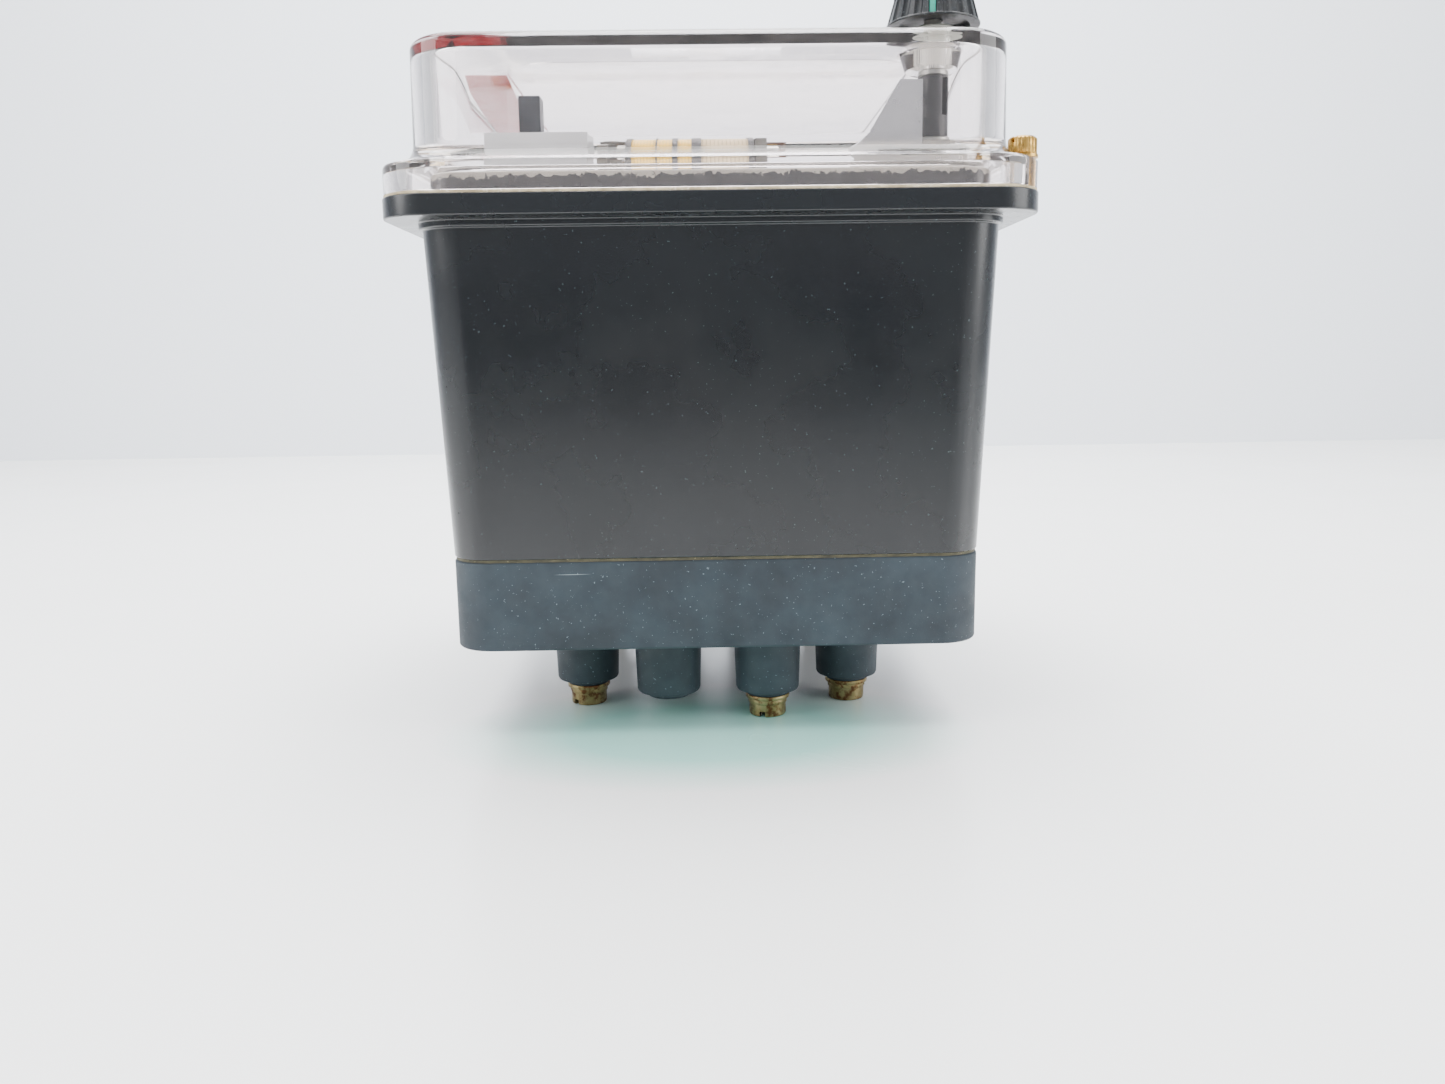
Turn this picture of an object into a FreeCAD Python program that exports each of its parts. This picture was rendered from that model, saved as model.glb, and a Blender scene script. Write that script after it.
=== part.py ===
"""Flush-mounting control relay: a moulded case with a clear cover, a setting knob and an armature relay inside.

The relay stands on the heads of its terminal screws, on the plane Z = 0, with its clear front cover upwards.
X runs left to right, Y runs front to back, and the origin lies under the middle of the case.
All sizes are millimetres and degrees. The first half of this file holds the sizes and the small helpers that
turn a formula of size names into a bound expression; the second half builds one sub-assembly per function.
"""

import FreeCAD, Part
import math
import os
import re
import Sketcher

PARTS_FOLDER = "parts"

# The driving sizes. Each becomes one cell of the spreadsheet, under its own name.
SIZES = {
    # terminals, from the standing plane upwards
    "head_height": 2.4,
    "head_dia": 7.0,
    "slot_width": 1.1,
    "slot_depth": 1.1,
    "terminal_thread": 4.0,
    "terminal_screw_length": 9.0,
    "spring_washer_height": 1.0,
    "spring_washer_dia": 7.4,
    "spring_washer_split": 0.9,
    "washer_height": 0.8,
    "washer_dia": 8.4,
    "washer_gap": 0.15,
    "spigot_height": 0.9,
    "spigot_dia": 8.2,
    "boss_end_dia": 12.0,
    "boss_root_dia": 12.7,
    "boss_length": 11.1,
    "ring_radius": 36.5,
    "inner_angle": 15.0,
    "outer_angle": 45.0,
    "bush_dia": 6.0,
    "bush_bore_depth": 10.0,
    "bush_flange_dia": 9.0,
    "bush_flange_height": 1.2,
    "stud_dia": 3.5,
    "stud_length": 4.4,
    "tag_dia": 7.0,
    "tag_height": 0.8,
    "tag_ear_width": 3.6,
    "tag_ear_end": 1.8,
    "tag_nut_height": 2.4,
    "tag_nut_dia": 7.0,
    # terminal base
    "base_width": 95.3,
    "base_height": 16.1,
    "base_floor": 4.0,
    "base_wall": 3.2,
    "case_corner": 7.5,
    "gasket_inset": 0.2,
    "base_gasket_height": 0.5,
    "base_pillar_dia": 12.0,
    "base_thread": 4.0,
    "base_head_dia": 7.6,
    "base_head_height": 2.4,
    "base_head_sink": 3.2,
    "base_head_gap": 0.4,
    # case
    "case_height": 57.9,
    "case_draft": 2.1,
    "case_wall": 3.2,
    "register_lip": 0.5,
    "register_height": 1.2,
    "flange_lip": 5.25,
    "flange_height": 3.5,
    "flange_corner": 8.0,
    "collar_inset": 0.45,
    "collar_height": 4.0,
    "pillar_inset": 7.65,
    "pillar_dia": 9.0,
    "insert_dia": 5.6,
    "insert_length": 8.0,
    # clear cover
    "cover_gasket_height": 0.4,
    "rim_height": 5.05,
    "rim_plate": 1.1,
    "rim_wall": 2.6,
    "rim_edge": 0.8,
    "flare_reach": 3.0,
    "flare_height": 4.2,
    "cover_lip": 0.8,
    "cover_draft": 0.25,
    "cover_rise": 20.5,
    "cover_wall": 2.5,
    "cover_top_height": 2.0,
    "cover_corner": 10.3,
    "cover_edge": 1.6,
    "cover_inner_edge": 1.0,
    "window_width": 73.0,
    "window_corner": 9.0,
    "window_depth": 0.4,
    "cover_screw_inset_x": 3.0,
    "cover_screw_inset_y": 7.4,
    "cover_screw_dia": 2.5,
    "cover_screw_head_dia": 4.8,
    "cover_screw_head_height": 2.9,
    "cover_screw_reach": 2.7,
    "cover_washer_height": 0.5,
    "cover_washer_dia": 5.2,
    "cover_boss_dia": 5.2,
    "cover_insert_dia": 4.2,
    "cover_insert_length": 3.0,
    "label_width": 8.6,
    "label_length": 52.0,
    "label_height": 0.18,
    "label_inset": 7.7,
    "label_turn": 3.4,
    # knob, bush and setting spindle
    "knob_inset": 11.8,
    "knob_base_dia": 15.7,
    "knob_waist_dia": 13.4,
    "knob_waist_rise": 4.4,
    "knob_top_dia": 11.2,
    "knob_height": 14.5,
    "knob_skirt_height": 0.4,
    "knob_skirt_dia": 16.0,
    "knob_recess_dia": 12.6,
    "knob_recess_depth": 1.0,
    "knob_flutes": 20,
    "knob_flute_dia": 1.5,
    "knob_gap": 0.35,
    "knob_grip": 9.0,
    "flute_overrun": 3.0,
    "knob_bush_dia": 9.0,
    "knob_bush_flange": 2.4,
    "knob_bush_shank": 4.6,
    "funnel_top_dia": 13.0,
    "funnel_end_dia": 9.4,
    "funnel_height": 2.6,
    "clip_height": 0.7,
    "clip_gap": 0.2,
    "clip_dia": 5.2,
    "shaft_dia": 3.0,
    "blade_width": 2.8,
    "blade_thick": 1.0,
    "blade_length": 4.0,
    "sleeve_dia": 5.3,
    "sleeve_grip": 3.6,
    "sleeve_slot_gap": 0.15,
    "sleeve_slot_depth": 6.4,
    "blade_turn": -50.0,
    "grub_dia": 2.5,
    "grub_length": 4.4,
    "grub_rise": 5.0,
    "index_width": 1.0,
    "index_depth": 0.6,
    "index_sink": 0.9,
    "index_groove": 2.5,
    "index_end": 0.7,
    "index_angle": 258.0,
    # clearances
    "running_gap": 0.05,
    "fit_gap": 0.3,
    "screw_gap": 0.05,
    # chassis
    "chassis_drop": 10.3,
    "chassis_height": 1.6,
    "chassis_gap": 0.45,
    "chassis_corner": 4.0,
    "small_thread": 3.0,
    "small_head_dia": 5.6,
    "small_head_height": 2.0,
    "chassis_screw_length": 8.0,
    "riser_inset": 7.0,
    "riser_dia": 1.6,
    "riser_rise": 2.2,
    "feed_dia": 4.4,
    "feed_flange_dia": 5.6,
    "feed_flange_height": 1.2,
    # magnet
    "coil_back": 30.0,
    "coil_rise": 13.5,
    "pole_left": 16.5,
    "pole_dia": 11.0,
    "pole_height": 1.5,
    "core_dia": 8.0,
    "core_length": 24.3,
    "bobbin_gap": 0.2,
    "bore_gap": 0.15,
    "bobbin_wall": 1.0,
    "bobbin_flange_dia": 19.2,
    "winding_dia": 18.0,
    "first_section": 4.2,
    "first_partition": 0.3,
    "second_section": 2.6,
    "second_partition": 1.0,
    "third_section": 2.4,
    "third_partition": 1.7,
    "yoke_gap": 10.4,
    "yoke_thick": 2.0,
    "yoke_height": 22.0,
    "yoke_end_width": 20.4,
    "yoke_end_sink": 4.0,
    "yoke_foot_depth": 9.0,
    "yoke_foot_length": 22.0,
    "core_screw_length": 9.0,
    "air_gap": 1.3,
    "arm_gap": 0.975,
    "armature_thick": 1.8,
    "armature_height": 14.4,
    "armature_rise": 5.2,
    "armature_reach": 20.4,
    "armature_arm": 15.0,
    "hinge_offset": 2.1,
    "hinge_dia": 2.0,
    "pin_head_dia": 3.0,
    "knuckle_dia": 4.0,
    "lug_height": 2.4,
    "lug_gap": 0.2,
    # contacts
    "carrier_length": 9.0,
    "carrier_depth": 2.8,
    "carrier_height": 12.0,
    "contact_pitch": 4.2,
    "contact_count": 3,
    "strip_width": 2.6,
    "strip_thick": 0.6,
    "button_dia": 2.4,
    "button_height": 1.0,
    "contact_gap": 0.95,
    "moving_strip_length": 10.0,
    "fixed_strip_length": 22.0,
    "block_length": 34.0,
    "block_depth": 10.0,
    "block_height": 20.0,
    "block_screw_spacing": 20.0,
    "block_screw_inset": 3.3,
    "strip_screw_dia": 2.0,
    "strip_screw_length": 5.0,
    "strip_screw_head_dia": 3.4,
    "strip_screw_head_height": 1.2,
    "return_spring_dia": 3.0,
    "return_spring_wire": 0.4,
    "return_spring_pitch": 1.2,
    "return_spring_gap": 0.55,
    "return_spring_inset": 0.75,
    # setting potentiometer and its bracket
    "pot_dia": 14.0,
    "pot_height": 9.1,
    "pot_wall": 0.8,
    "pot_bush_dia": 6.0,
    "pot_bush_length": 4.4,
    "pot_nut_dia": 9.6,
    "pot_nut_height": 1.8,
    "pot_rise": 7.9,
    "track_dia": 11.6,
    "track_wall": 1.5,
    "track_height": 2.0,
    "track_rise": 1.6,
    "wiper_width": 2.0,
    "wiper_thick": 0.6,
    "wiper_hub_dia": 5.0,
    "wiper_hub_height": 2.0,
    "pot_tag_width": 1.6,
    "pot_tag_thick": 0.5,
    "pot_tag_length": 3.4,
    "pot_tag_turn": 135.0,
    "pot_tag_step": 25.0,
    "bracket_thick": 1.6,
    "bracket_left": 15.1,
    "bracket_web": 8.5,
    "bracket_pillar": 3.85,
    "bracket_pillar_gap": 2.8,
    "bracket_top_drop": 1.3,
    "bracket_fold": 3.2,
    "bracket_front": 5.5,
    "bracket_foot_depth": 14.0,
    "bracket_screw_pitch": 6.4,
    "bracket_lug_back": 5.5,
    "bracket_lug_right": 5.5,
    # auxiliary switch with its test plunger
    "switch_left": 39.5,
    "switch_length": 18.0,
    "switch_depth": 12.0,
    "switch_height": 23.7,
    "switch_lid_height": 1.0,
    "plunger_left": 33.9,
    "plunger_length": 3.8,
    "plunger_depth": 4.4,
    "plunger_top_gap": 4.5,
    "plunger_seat": 3.4,
    "plunger_spring_dia": 3.6,
    "plunger_spring_wire": 0.5,
    "plunger_spring_pitch": 1.5,
    "plunger_spring_height": 6.0,
    # timing capacitor
    "capacitor_dia": 16.0,
    "capacitor_length": 34.0,
    "capacitor_back": 28.0,
    "capacitor_lift": 2.6,
    "clamp_wall": 0.8,
    "clamp_width": 8.0,
    "clamp_foot": 18.0,
}

# What follows from the driving sizes. Each is a formula, and is put in place of its name wherever it is used.
DERIVED = {
    # levels above the standing plane
    "washer_level": "head_height + spring_washer_height",
    "spigot_end": "washer_level + washer_height",
    "boss_end": "spigot_end + spigot_height",
    "base_bottom": "boss_end + boss_length",
    "base_inside": "base_bottom + base_floor",
    "base_top": "base_bottom + base_height",
    "case_bottom": "base_top + base_gasket_height",
    "flange_bottom": "case_bottom + case_height",
    "flange_top": "flange_bottom + flange_height",
    "collar_top": "flange_top + collar_height",
    "rim_bottom": "flange_top + cover_gasket_height",
    "rim_top": "rim_bottom + rim_height",
    "rim_inside": "rim_top - rim_plate",
    "cover_top": "rim_top + cover_rise",
    "cover_inside": "cover_top - cover_top_height",
    "funnel_end": "cover_inside - funnel_height",
    "knob_level": "cover_top + knob_bush_flange + knob_gap",
    "knob_waist": "knob_level + knob_waist_rise",
    "clip_level": "funnel_end - clip_gap - clip_height",
    "sleeve_top": "clip_level - fit_gap",
    "shaft_end": "sleeve_top + fit_gap",
    "bracket_top": "sleeve_top - bracket_top_drop",
    "tag_level": "base_inside + bush_flange_height",
    "riser_radius": "ring_radius - riser_inset",
    "riser_level": "tag_level + tag_height",
    "chassis_bottom": "flange_bottom - chassis_drop",
    "chassis_top": "chassis_bottom + chassis_height",
    "coil_level": "chassis_top + coil_rise",
    "yoke_top": "chassis_top + yoke_height",
    "armature_bottom": "chassis_top + armature_rise",
    "armature_top": "armature_bottom + armature_height",
    "armature_middle": "armature_bottom + armature_height / 2",
    "pot_bottom": "chassis_top + pot_rise",
    "pot_top": "pot_bottom + pot_height",
    "pot_bush_top": "pot_top + pot_bush_length",
    "sleeve_bottom": "pot_bush_top + fit_gap",
    "track_bottom": "pot_bottom + pot_wall + track_rise",
    "wiper_bottom": "track_bottom + track_height + fit_gap",
    "switch_top": "chassis_top + switch_height",
    "plunger_bottom": "switch_top - plunger_seat",
    "plunger_top": "cover_inside - plunger_top_gap",
    "plunger_spring_level": "plunger_bottom - plunger_spring_height",
    "capacitor_level": "chassis_top + capacitor_lift + capacitor_dia / 2",
    # widths, and places across
    "case_top_width": "base_width + 2 * case_draft",
    "register_width": "case_top_width + 2 * register_lip",
    "flange_width": "case_top_width + 2 * flange_lip",
    "collar_width": "case_top_width - 2 * collar_inset",
    "cover_foot_width": "case_top_width + 2 * cover_lip",
    "cover_top_width": "cover_foot_width - 2 * cover_draft",
    "flare_foot_width": "cover_foot_width + 2 * flare_reach",
    "pillar_place": "base_width / 2 - pillar_inset",
    "chassis_width": "base_width - 2 * case_wall - 2 * chassis_gap",
    "cover_screw_x": "flange_width / 2 - cover_screw_inset_x",
    "cover_screw_y": "flange_width / 2 - cover_screw_inset_y",
    "cover_screw_level": "rim_top + cover_washer_height",
    "cover_insert_level": "flange_top - cover_insert_length",
    "knob_place": "cover_top_width / 2 - knob_inset",
    "pole_face": "0 - pole_left",
    "core_end": "core_length - pole_left",
    "yoke_front": "yoke_gap - coil_back",
    "yoke_back": "yoke_front + yoke_thick",
    "hinge_x": "pole_face - hinge_offset",
    "hinge_y": "yoke_front + yoke_thick / 2",
    "armature_back": "yoke_back + arm_gap + armature_thick",
    "carrier_back": "armature_back + carrier_depth",
    "moving_face": "carrier_back + strip_thick + button_height",
    "fixed_face": "moving_face + contact_gap",
    "block_front": "fixed_face + button_height + strip_thick",
    "block_left": "hinge_x",
    "spring_x": "hinge_x + knuckle_dia / 2",
    "contact_x": "hinge_x + armature_arm - button_dia",
    "bobbin_start": "pole_face + pole_height + bobbin_gap",
    "bobbin_length": "core_length - pole_height - 2 * bobbin_gap",
}

SHEET_NAME = "Sizes"
WORD = re.compile(r"[a-z_]+")
ALONG_X = FreeCAD.Rotation(FreeCAD.Vector(0, 1, 0), 90)
ALONG_Y = FreeCAD.Rotation(FreeCAD.Vector(1, 0, 0), -90)
UPRIGHT = FreeCAD.Rotation()
CORNERS = [(-1, -1), (1, -1), (1, 1), (-1, 1)]

document = FreeCAD.newDocument("ControlRelay")
sheet = document.addObject("Spreadsheet::Sheet", SHEET_NAME)
for row, (alias, amount) in enumerate(SIZES.items(), start=1):
    sheet.set(f"A{row}", alias.replace("_", " "))
    sheet.set(f"B{row}", str(amount))
    sheet.setAlias(f"B{row}", alias)
document.recompute()

nodes = []


def refer(formula):
    """Turn a formula of size names into an expression that reads the sheet."""

    def swap(found):
        word = found.group()
        if word in SIZES:
            return f"{SHEET_NAME}.{word}"
        if word in DERIVED:
            return f"({refer(DERIVED[word])})"
        return word

    return WORD.sub(swap, str(formula))


def size(formula):
    """Work out a formula of size names as a number."""
    return float(sheet.evalExpression(refer(formula)))


def bind(item, formulas):
    """Bind each named property of an item to its formula."""
    for path, formula in formulas.items():
        item.setExpression(path, refer(formula))
    return item


def place(item, x, y, z, turn=UPRIGHT):
    """Set an item down at a point given by formulas, turned as asked."""
    item.Placement = FreeCAD.Placement(FreeCAD.Vector(), turn)
    return bind(item, {"Placement.Base.x": x, "Placement.Base.y": y, "Placement.Base.z": z})


def node(item, label):
    """Name a finished sub-part and list it for export."""
    item.Label = label
    nodes.append(item)
    return item


def cylinder(name, dia, height, x, y, z, turn=UPRIGHT):
    """A round bar that starts at a point and runs along its own axis."""
    item = document.addObject("Part::Cylinder", name)
    bind(item, {"Radius": f"({dia}) / 2", "Height": height})
    return place(item, x, y, z, turn)


def cone(name, low_dia, high_dia, height, x, y, z):
    """An upright cone from its lower to its upper diameter."""
    item = document.addObject("Part::Cone", name)
    bind(item, {"Radius1": f"({low_dia}) / 2", "Radius2": f"({high_dia}) / 2", "Height": height})
    return place(item, x, y, z)


def box(name, length, depth, height, x, y, z):
    """A box from its left, front, lower corner."""
    item = document.addObject("Part::Box", name)
    bind(item, {"Length": length, "Width": depth, "Height": height})
    return place(item, x, y, z)


def middle_box(name, length, depth, height, x, y, z):
    """A box centred on a point in X and Y, standing at a level."""
    return box(name, length, depth, height, f"{x} - ({length}) / 2", f"{y} - ({depth}) / 2", z)


def turned_box(name, length, depth, height, x, y, z, angle):
    """A box that runs from a point in the direction of an angle about Z, centred across its depth."""
    item = document.addObject("Part::Box", name)
    bind(item, {"Length": length, "Width": depth, "Height": height})
    item.Placement = FreeCAD.Placement(FreeCAD.Vector(), FreeCAD.Rotation(FreeCAD.Vector(0, 0, 1), 1))
    bind(item, {
        "Placement.Rotation.Angle": angle,
        "Placement.Base.x": f"{x} + ({depth}) / 2 * sin({angle})",
        "Placement.Base.y": f"{y} - ({depth}) / 2 * cos({angle})",
        "Placement.Base.z": z,
    })
    return item


def crossing_box(name, length, depth, height, x, y, z, angle):
    """A box centred on an upright axis and turned about it."""
    return turned_box(name, length, depth, height, f"{x} - {length} / 2 * cos({angle})",
                      f"{y} - {length} / 2 * sin({angle})", z, angle)


def hexagon(name, across, height, x, y, z):
    """A hexagon bar, its size given across the corners."""
    item = document.addObject("Part::Prism", name)
    item.Polygon = 6
    bind(item, {"Circumradius": f"({across}) / 2", "Height": height})
    return place(item, x, y, z)


def fuse(name, items):
    """Join several shapes into one."""
    joined = document.addObject("Part::MultiFuse", name)
    joined.Shapes = items
    return joined


def cut(name, base, tools):
    """Take one or more tools away from a base."""
    result = document.addObject("Part::Cut", name)
    result.Base = base
    result.Tool = tools[0] if len(tools) == 1 else fuse(f"{name}_tools", tools)
    return result


def group(name, items):
    """Keep like pieces together as separate solids."""
    together = document.addObject("Part::Compound", name)
    together.Links = items
    return together


def polygon_sketch(body, name, role, points, level):
    """Sketch a closed outline on one of the body's own planes, each corner pinned by two formulas."""
    plane = next(item for item in body.Origin.OriginFeatures if item.Role == role)
    sketch = body.newObject("Sketcher::SketchObject", name)
    sketch.AttachmentSupport = [(plane, "")]
    sketch.MapMode = "FlatFace"
    bind(sketch, {"AttachmentOffset.Base.z": level})
    count = len(points)
    for index in range(count):
        start = 2 * math.pi * index / count
        end = 2 * math.pi * (index + 1) / count
        first = FreeCAD.Vector(math.cos(start), math.sin(start), 0)
        last = FreeCAD.Vector(math.cos(end), math.sin(end), 0)
        sketch.addGeometry(Part.LineSegment(first, last), False)
    for index in range(count):
        sketch.addConstraint(Sketcher.Constraint("Coincident", index, 2, (index + 1) % count, 1))
    for index, point in enumerate(points):
        for kind, formula in zip(("DistanceX", "DistanceY"), point):
            rule = sketch.addConstraint(Sketcher.Constraint(kind, -1, 1, index, 1, 1.0))
            label = f"{kind}_{index}"
            sketch.renameConstraint(rule, label)
            bind(sketch, {f"Constraints.{label}": formula})
    return sketch


def upright_edges(shape):
    """Name the straight edges that stand up, draft included."""
    names = []
    for index, edge in enumerate(shape.Edges, start=1):
        first, last = edge.Vertexes[0].Point, edge.Vertexes[-1].Point
        along = last.sub(first)
        if along.Length > 0 and abs(along.z) / along.Length > 0.4:
            names.append(f"Edge{index}")
    return names


def rim_edges(shape, level):
    """Name the edges that lie at one level."""
    names = []
    for index, edge in enumerate(shape.Edges, start=1):
        if all(abs(vertex.Z - level) < 1e-4 for vertex in edge.Vertexes):
            names.append(f"Edge{index}")
    return names


def round_edges(body, feature, name, edge_names, radius):
    """Round named edges of a body's last feature."""
    fillet = body.newObject("PartDesign::Fillet", name)
    fillet.Base = (feature, edge_names)
    bind(fillet, {"Radius": radius})
    document.recompute()
    return fillet


def prism(name, role, points, level, height, taper=None):
    """A body padded from an outline, with optional draft."""
    body = document.addObject("PartDesign::Body", name)
    sketch = polygon_sketch(body, f"{name}_sketch", role, points, level)
    pad = body.newObject("PartDesign::Pad", f"{name}_pad")
    pad.Profile = sketch
    bind(pad, {"Length": height})
    if taper:
        bind(pad, {"TaperAngle": taper})
    document.recompute()
    return body


def plate(name, width, height, level, corner, taper=None, top_edge=None):
    """A square slab about the centre, with rounded corners, optional draft and an optional rounded top edge."""
    half = f"({width}) / 2"
    points = [(f"{sx} * {half}", f"{sy} * {half}") for sx, sy in CORNERS]
    body = prism(name, "XY_Plane", points, level, height, taper)
    last = round_edges(body, body.Tip, f"{name}_corners", upright_edges(body.Tip.Shape), corner)
    if top_edge:
        top = max(vertex.Z for vertex in last.Shape.Vertexes)
        round_edges(body, last, f"{name}_edge", rim_edges(last.Shape, top), top_edge)
    return body


def headed_screw(name, thread, length, head_dia, head_height, x, y, z, downwards=True):
    """A slotted screw whose head seats at a level, with its shank running down, or up, from it."""
    sign = "1" if downwards else "-1"
    head_low = z if downwards else f"{z} - {head_height}"
    shank_low = f"{z} - ({length})" if downwards else z
    slot_low = f"{z} + {sign} * {head_height} - slot_depth * {'1' if downwards else '0'}"
    head = cylinder(f"{name}_head", head_dia, head_height, x, y, head_low)
    shank = cylinder(f"{name}_shank", thread, length, x, y, shank_low)
    slot = middle_box(f"{name}_slot", f"{head_dia} + fit_gap", "slot_width", "slot_depth", x, y, slot_low)
    return cut(name, fuse(f"{name}_body", [head, shank]), [slot])


def coil_spring(name, dia, wire, pitch, length):
    """A helical spring standing on its own origin, made from the sheet's sizes."""
    helix = Part.makeHelix(pitch, length - wire, (dia - wire) / 2)
    start = FreeCAD.Vector((dia - wire) / 2, 0, 0)
    section = Part.Wire(Part.Circle(start, FreeCAD.Vector(0, 1, 0), wire / 2).toShape())
    item = document.addObject("Part::Feature", name)
    spring = Part.Wire(helix.Edges).makePipeShell([section], True, True)
    spring.translate(FreeCAD.Vector(0, 0, wire / 2))
    item.Shape = spring
    return item


def terminal_places():
    """Give each terminal's direction as a formula for its angle from the X axis."""
    angles = []
    for side in ("-90", "90"):
        for step in ("-outer_angle", "-inner_angle", "inner_angle", "outer_angle"):
            angles.append(f"({side} + {step})".replace("+ -", "- "))
    return angles


TERMINALS = terminal_places()
EMPTY_TERMINAL = 1


def on_ring(radius, angle):
    """X and Y formulas of a point on a circle about the centre."""
    return f"{radius} * cos({angle})", f"{radius} * sin({angle})"


def four_corners(offset):
    """X and Y formulas of the four points of a square about the centre."""
    return [(f"{sx} * {offset}", f"{sy} * {offset}") for sx, sy in CORNERS]


def make_terminals():
    """Threaded bushes, screws, washers, tags and nuts of the terminal ring, and the wires that rise from them."""
    bushes, screws, springs, washers, tags, nuts, risers = [], [], [], [], [], [], []
    for index, angle in enumerate(TERMINALS):
        x, y = on_ring("ring_radius", angle)
        riser_x, riser_y = on_ring("riser_radius", angle)
        bush = fuse(f"bush_{index}_solid", [
            cylinder(f"bush_{index}_barrel", "bush_dia", "base_floor + base_bottom - spigot_end", x, y,
                     "spigot_end"),
            cylinder(f"bush_{index}_flange", "bush_flange_dia", "bush_flange_height", x, y, "base_inside"),
            cylinder(f"bush_{index}_stud", "stud_dia", "stud_length", x, y, "tag_level"),
        ])
        bore = cylinder(f"bush_{index}_bore", "terminal_thread + 2 * screw_gap", "bush_bore_depth", x, y,
                        "spigot_end")
        bushes.append(cut(f"bush_{index}", bush, [bore]))
        tag = fuse(f"tag_{index}_solid", [
            cylinder(f"tag_{index}_ring", "tag_dia", "tag_height", x, y, "tag_level"),
            turned_box(f"tag_{index}_ear", "riser_inset + tag_ear_end", "tag_ear_width", "tag_height", x, y,
                       "tag_level", f"({angle} + 180)"),
        ])
        tags.append(cut(f"tag_{index}", tag, [
            cylinder(f"tag_{index}_hole", "stud_dia + 2 * screw_gap", "tag_height", x, y, "tag_level"),
        ]))
        nut = hexagon(f"nut_{index}_solid", "tag_nut_dia", "tag_nut_height", x, y, "riser_level")
        nuts.append(cut(f"nut_{index}", nut, [
            cylinder(f"nut_{index}_bore", "stud_dia + 2 * screw_gap", "tag_nut_height", x, y, "riser_level"),
        ]))
        risers.append(cylinder(f"riser_{index}", "riser_dia", "chassis_top + riser_rise - riser_level",
                               riser_x, riser_y, "riser_level"))
        if index == EMPTY_TERMINAL:
            continue
        screws.append(headed_screw(f"terminal_screw_{index}", "terminal_thread", "terminal_screw_length",
                                   "head_dia",
                                   "head_height", x, y, "head_height", downwards=False))
        spring = cylinder(f"spring_washer_{index}_disc", "spring_washer_dia", "spring_washer_height", x, y,
                          "head_height")
        springs.append(cut(f"spring_washer_{index}", spring, [
            cylinder(f"spring_washer_{index}_bore", "terminal_thread + 2 * washer_gap",
                     "spring_washer_height", x, y,
                     "head_height"),
            turned_box(f"spring_washer_{index}_split", "spring_washer_dia", "spring_washer_split",
                       "spring_washer_height", x, y, "head_height", f"({angle} + inner_angle)"),
        ]))
        washer = cylinder(f"washer_{index}_disc", "washer_dia", "washer_height", x, y, "washer_level")
        washers.append(cut(f"washer_{index}", washer, [
            cylinder(f"washer_{index}_bore", "terminal_thread + 2 * washer_gap", "washer_height", x, y,
                     "washer_level"),
        ]))
    node(group("TerminalBushes", bushes), "terminal_bushes")
    node(group("TerminalScrews", screws), "terminal_screws")
    node(group("TerminalSpringWashers", springs), "terminal_spring_washers")
    node(group("TerminalWashers", washers), "terminal_washers")
    node(group("TerminalTags", tags), "terminal_tags")
    node(group("TerminalNuts", nuts), "terminal_nuts")
    node(group("RiserWires", risers), "riser_wires")


def make_base():
    """The moulded terminal base with its bosses, the gasket above it and the four long screws that hold it."""
    shell = plate("base_block", "base_width", "base_height", "base_bottom", "case_corner")
    cavity = plate("base_cavity", "base_width - 2 * base_wall", "base_height", "base_inside",
                   "case_corner - base_wall")
    solids = [cut("base_shell", shell, [cavity])]
    holes = []
    for index, angle in enumerate(TERMINALS):
        x, y = on_ring("ring_radius", angle)
        solids.append(cone(f"boss_{index}", "boss_end_dia", "boss_root_dia", "boss_length", x, y, "boss_end"))
        solids.append(cylinder(f"spigot_{index}", "spigot_dia", "spigot_height", x, y, "spigot_end"))
        holes.append(cylinder(f"bush_hole_{index}", "bush_dia", "base_inside - spigot_end", x, y,
                              "spigot_end"))
    screws = []
    for index, (x, y) in enumerate(four_corners("pillar_place")):
        solids.append(cylinder(f"base_pillar_{index}", "base_pillar_dia", "base_height - base_floor", x, y,
                               "base_inside"))
        holes.append(cylinder(f"base_screw_hole_{index}", "base_thread + base_head_gap", "base_height", x, y,
                              "base_bottom"))
        holes.append(cylinder(f"base_head_hole_{index}", "base_head_dia + base_head_gap", "base_head_sink",
                              x, y,
                              "base_bottom"))
        screws.append(headed_screw(
            f"base_screw_{index}", "base_thread",
            "base_height - base_head_sink + base_gasket_height + insert_length", "base_head_dia",
            "base_head_height", x, y, "base_bottom + base_head_sink", downwards=False))
    node(cut("TerminalBase", fuse("base_solid", solids), holes), "terminal_base")
    node(group("BaseScrews", screws), "base_screws")
    ring = plate("base_gasket_plate", "base_width - 2 * gasket_inset", "base_gasket_height", "base_top",
                 "case_corner - gasket_inset")
    window = plate("base_gasket_window", "base_width - 2 * base_wall + 2 * gasket_inset",
                   "base_gasket_height",
                   "base_top", "case_corner - base_wall + gasket_inset")
    node(cut("BaseGasket", ring, [window]), "base_gasket")


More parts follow.
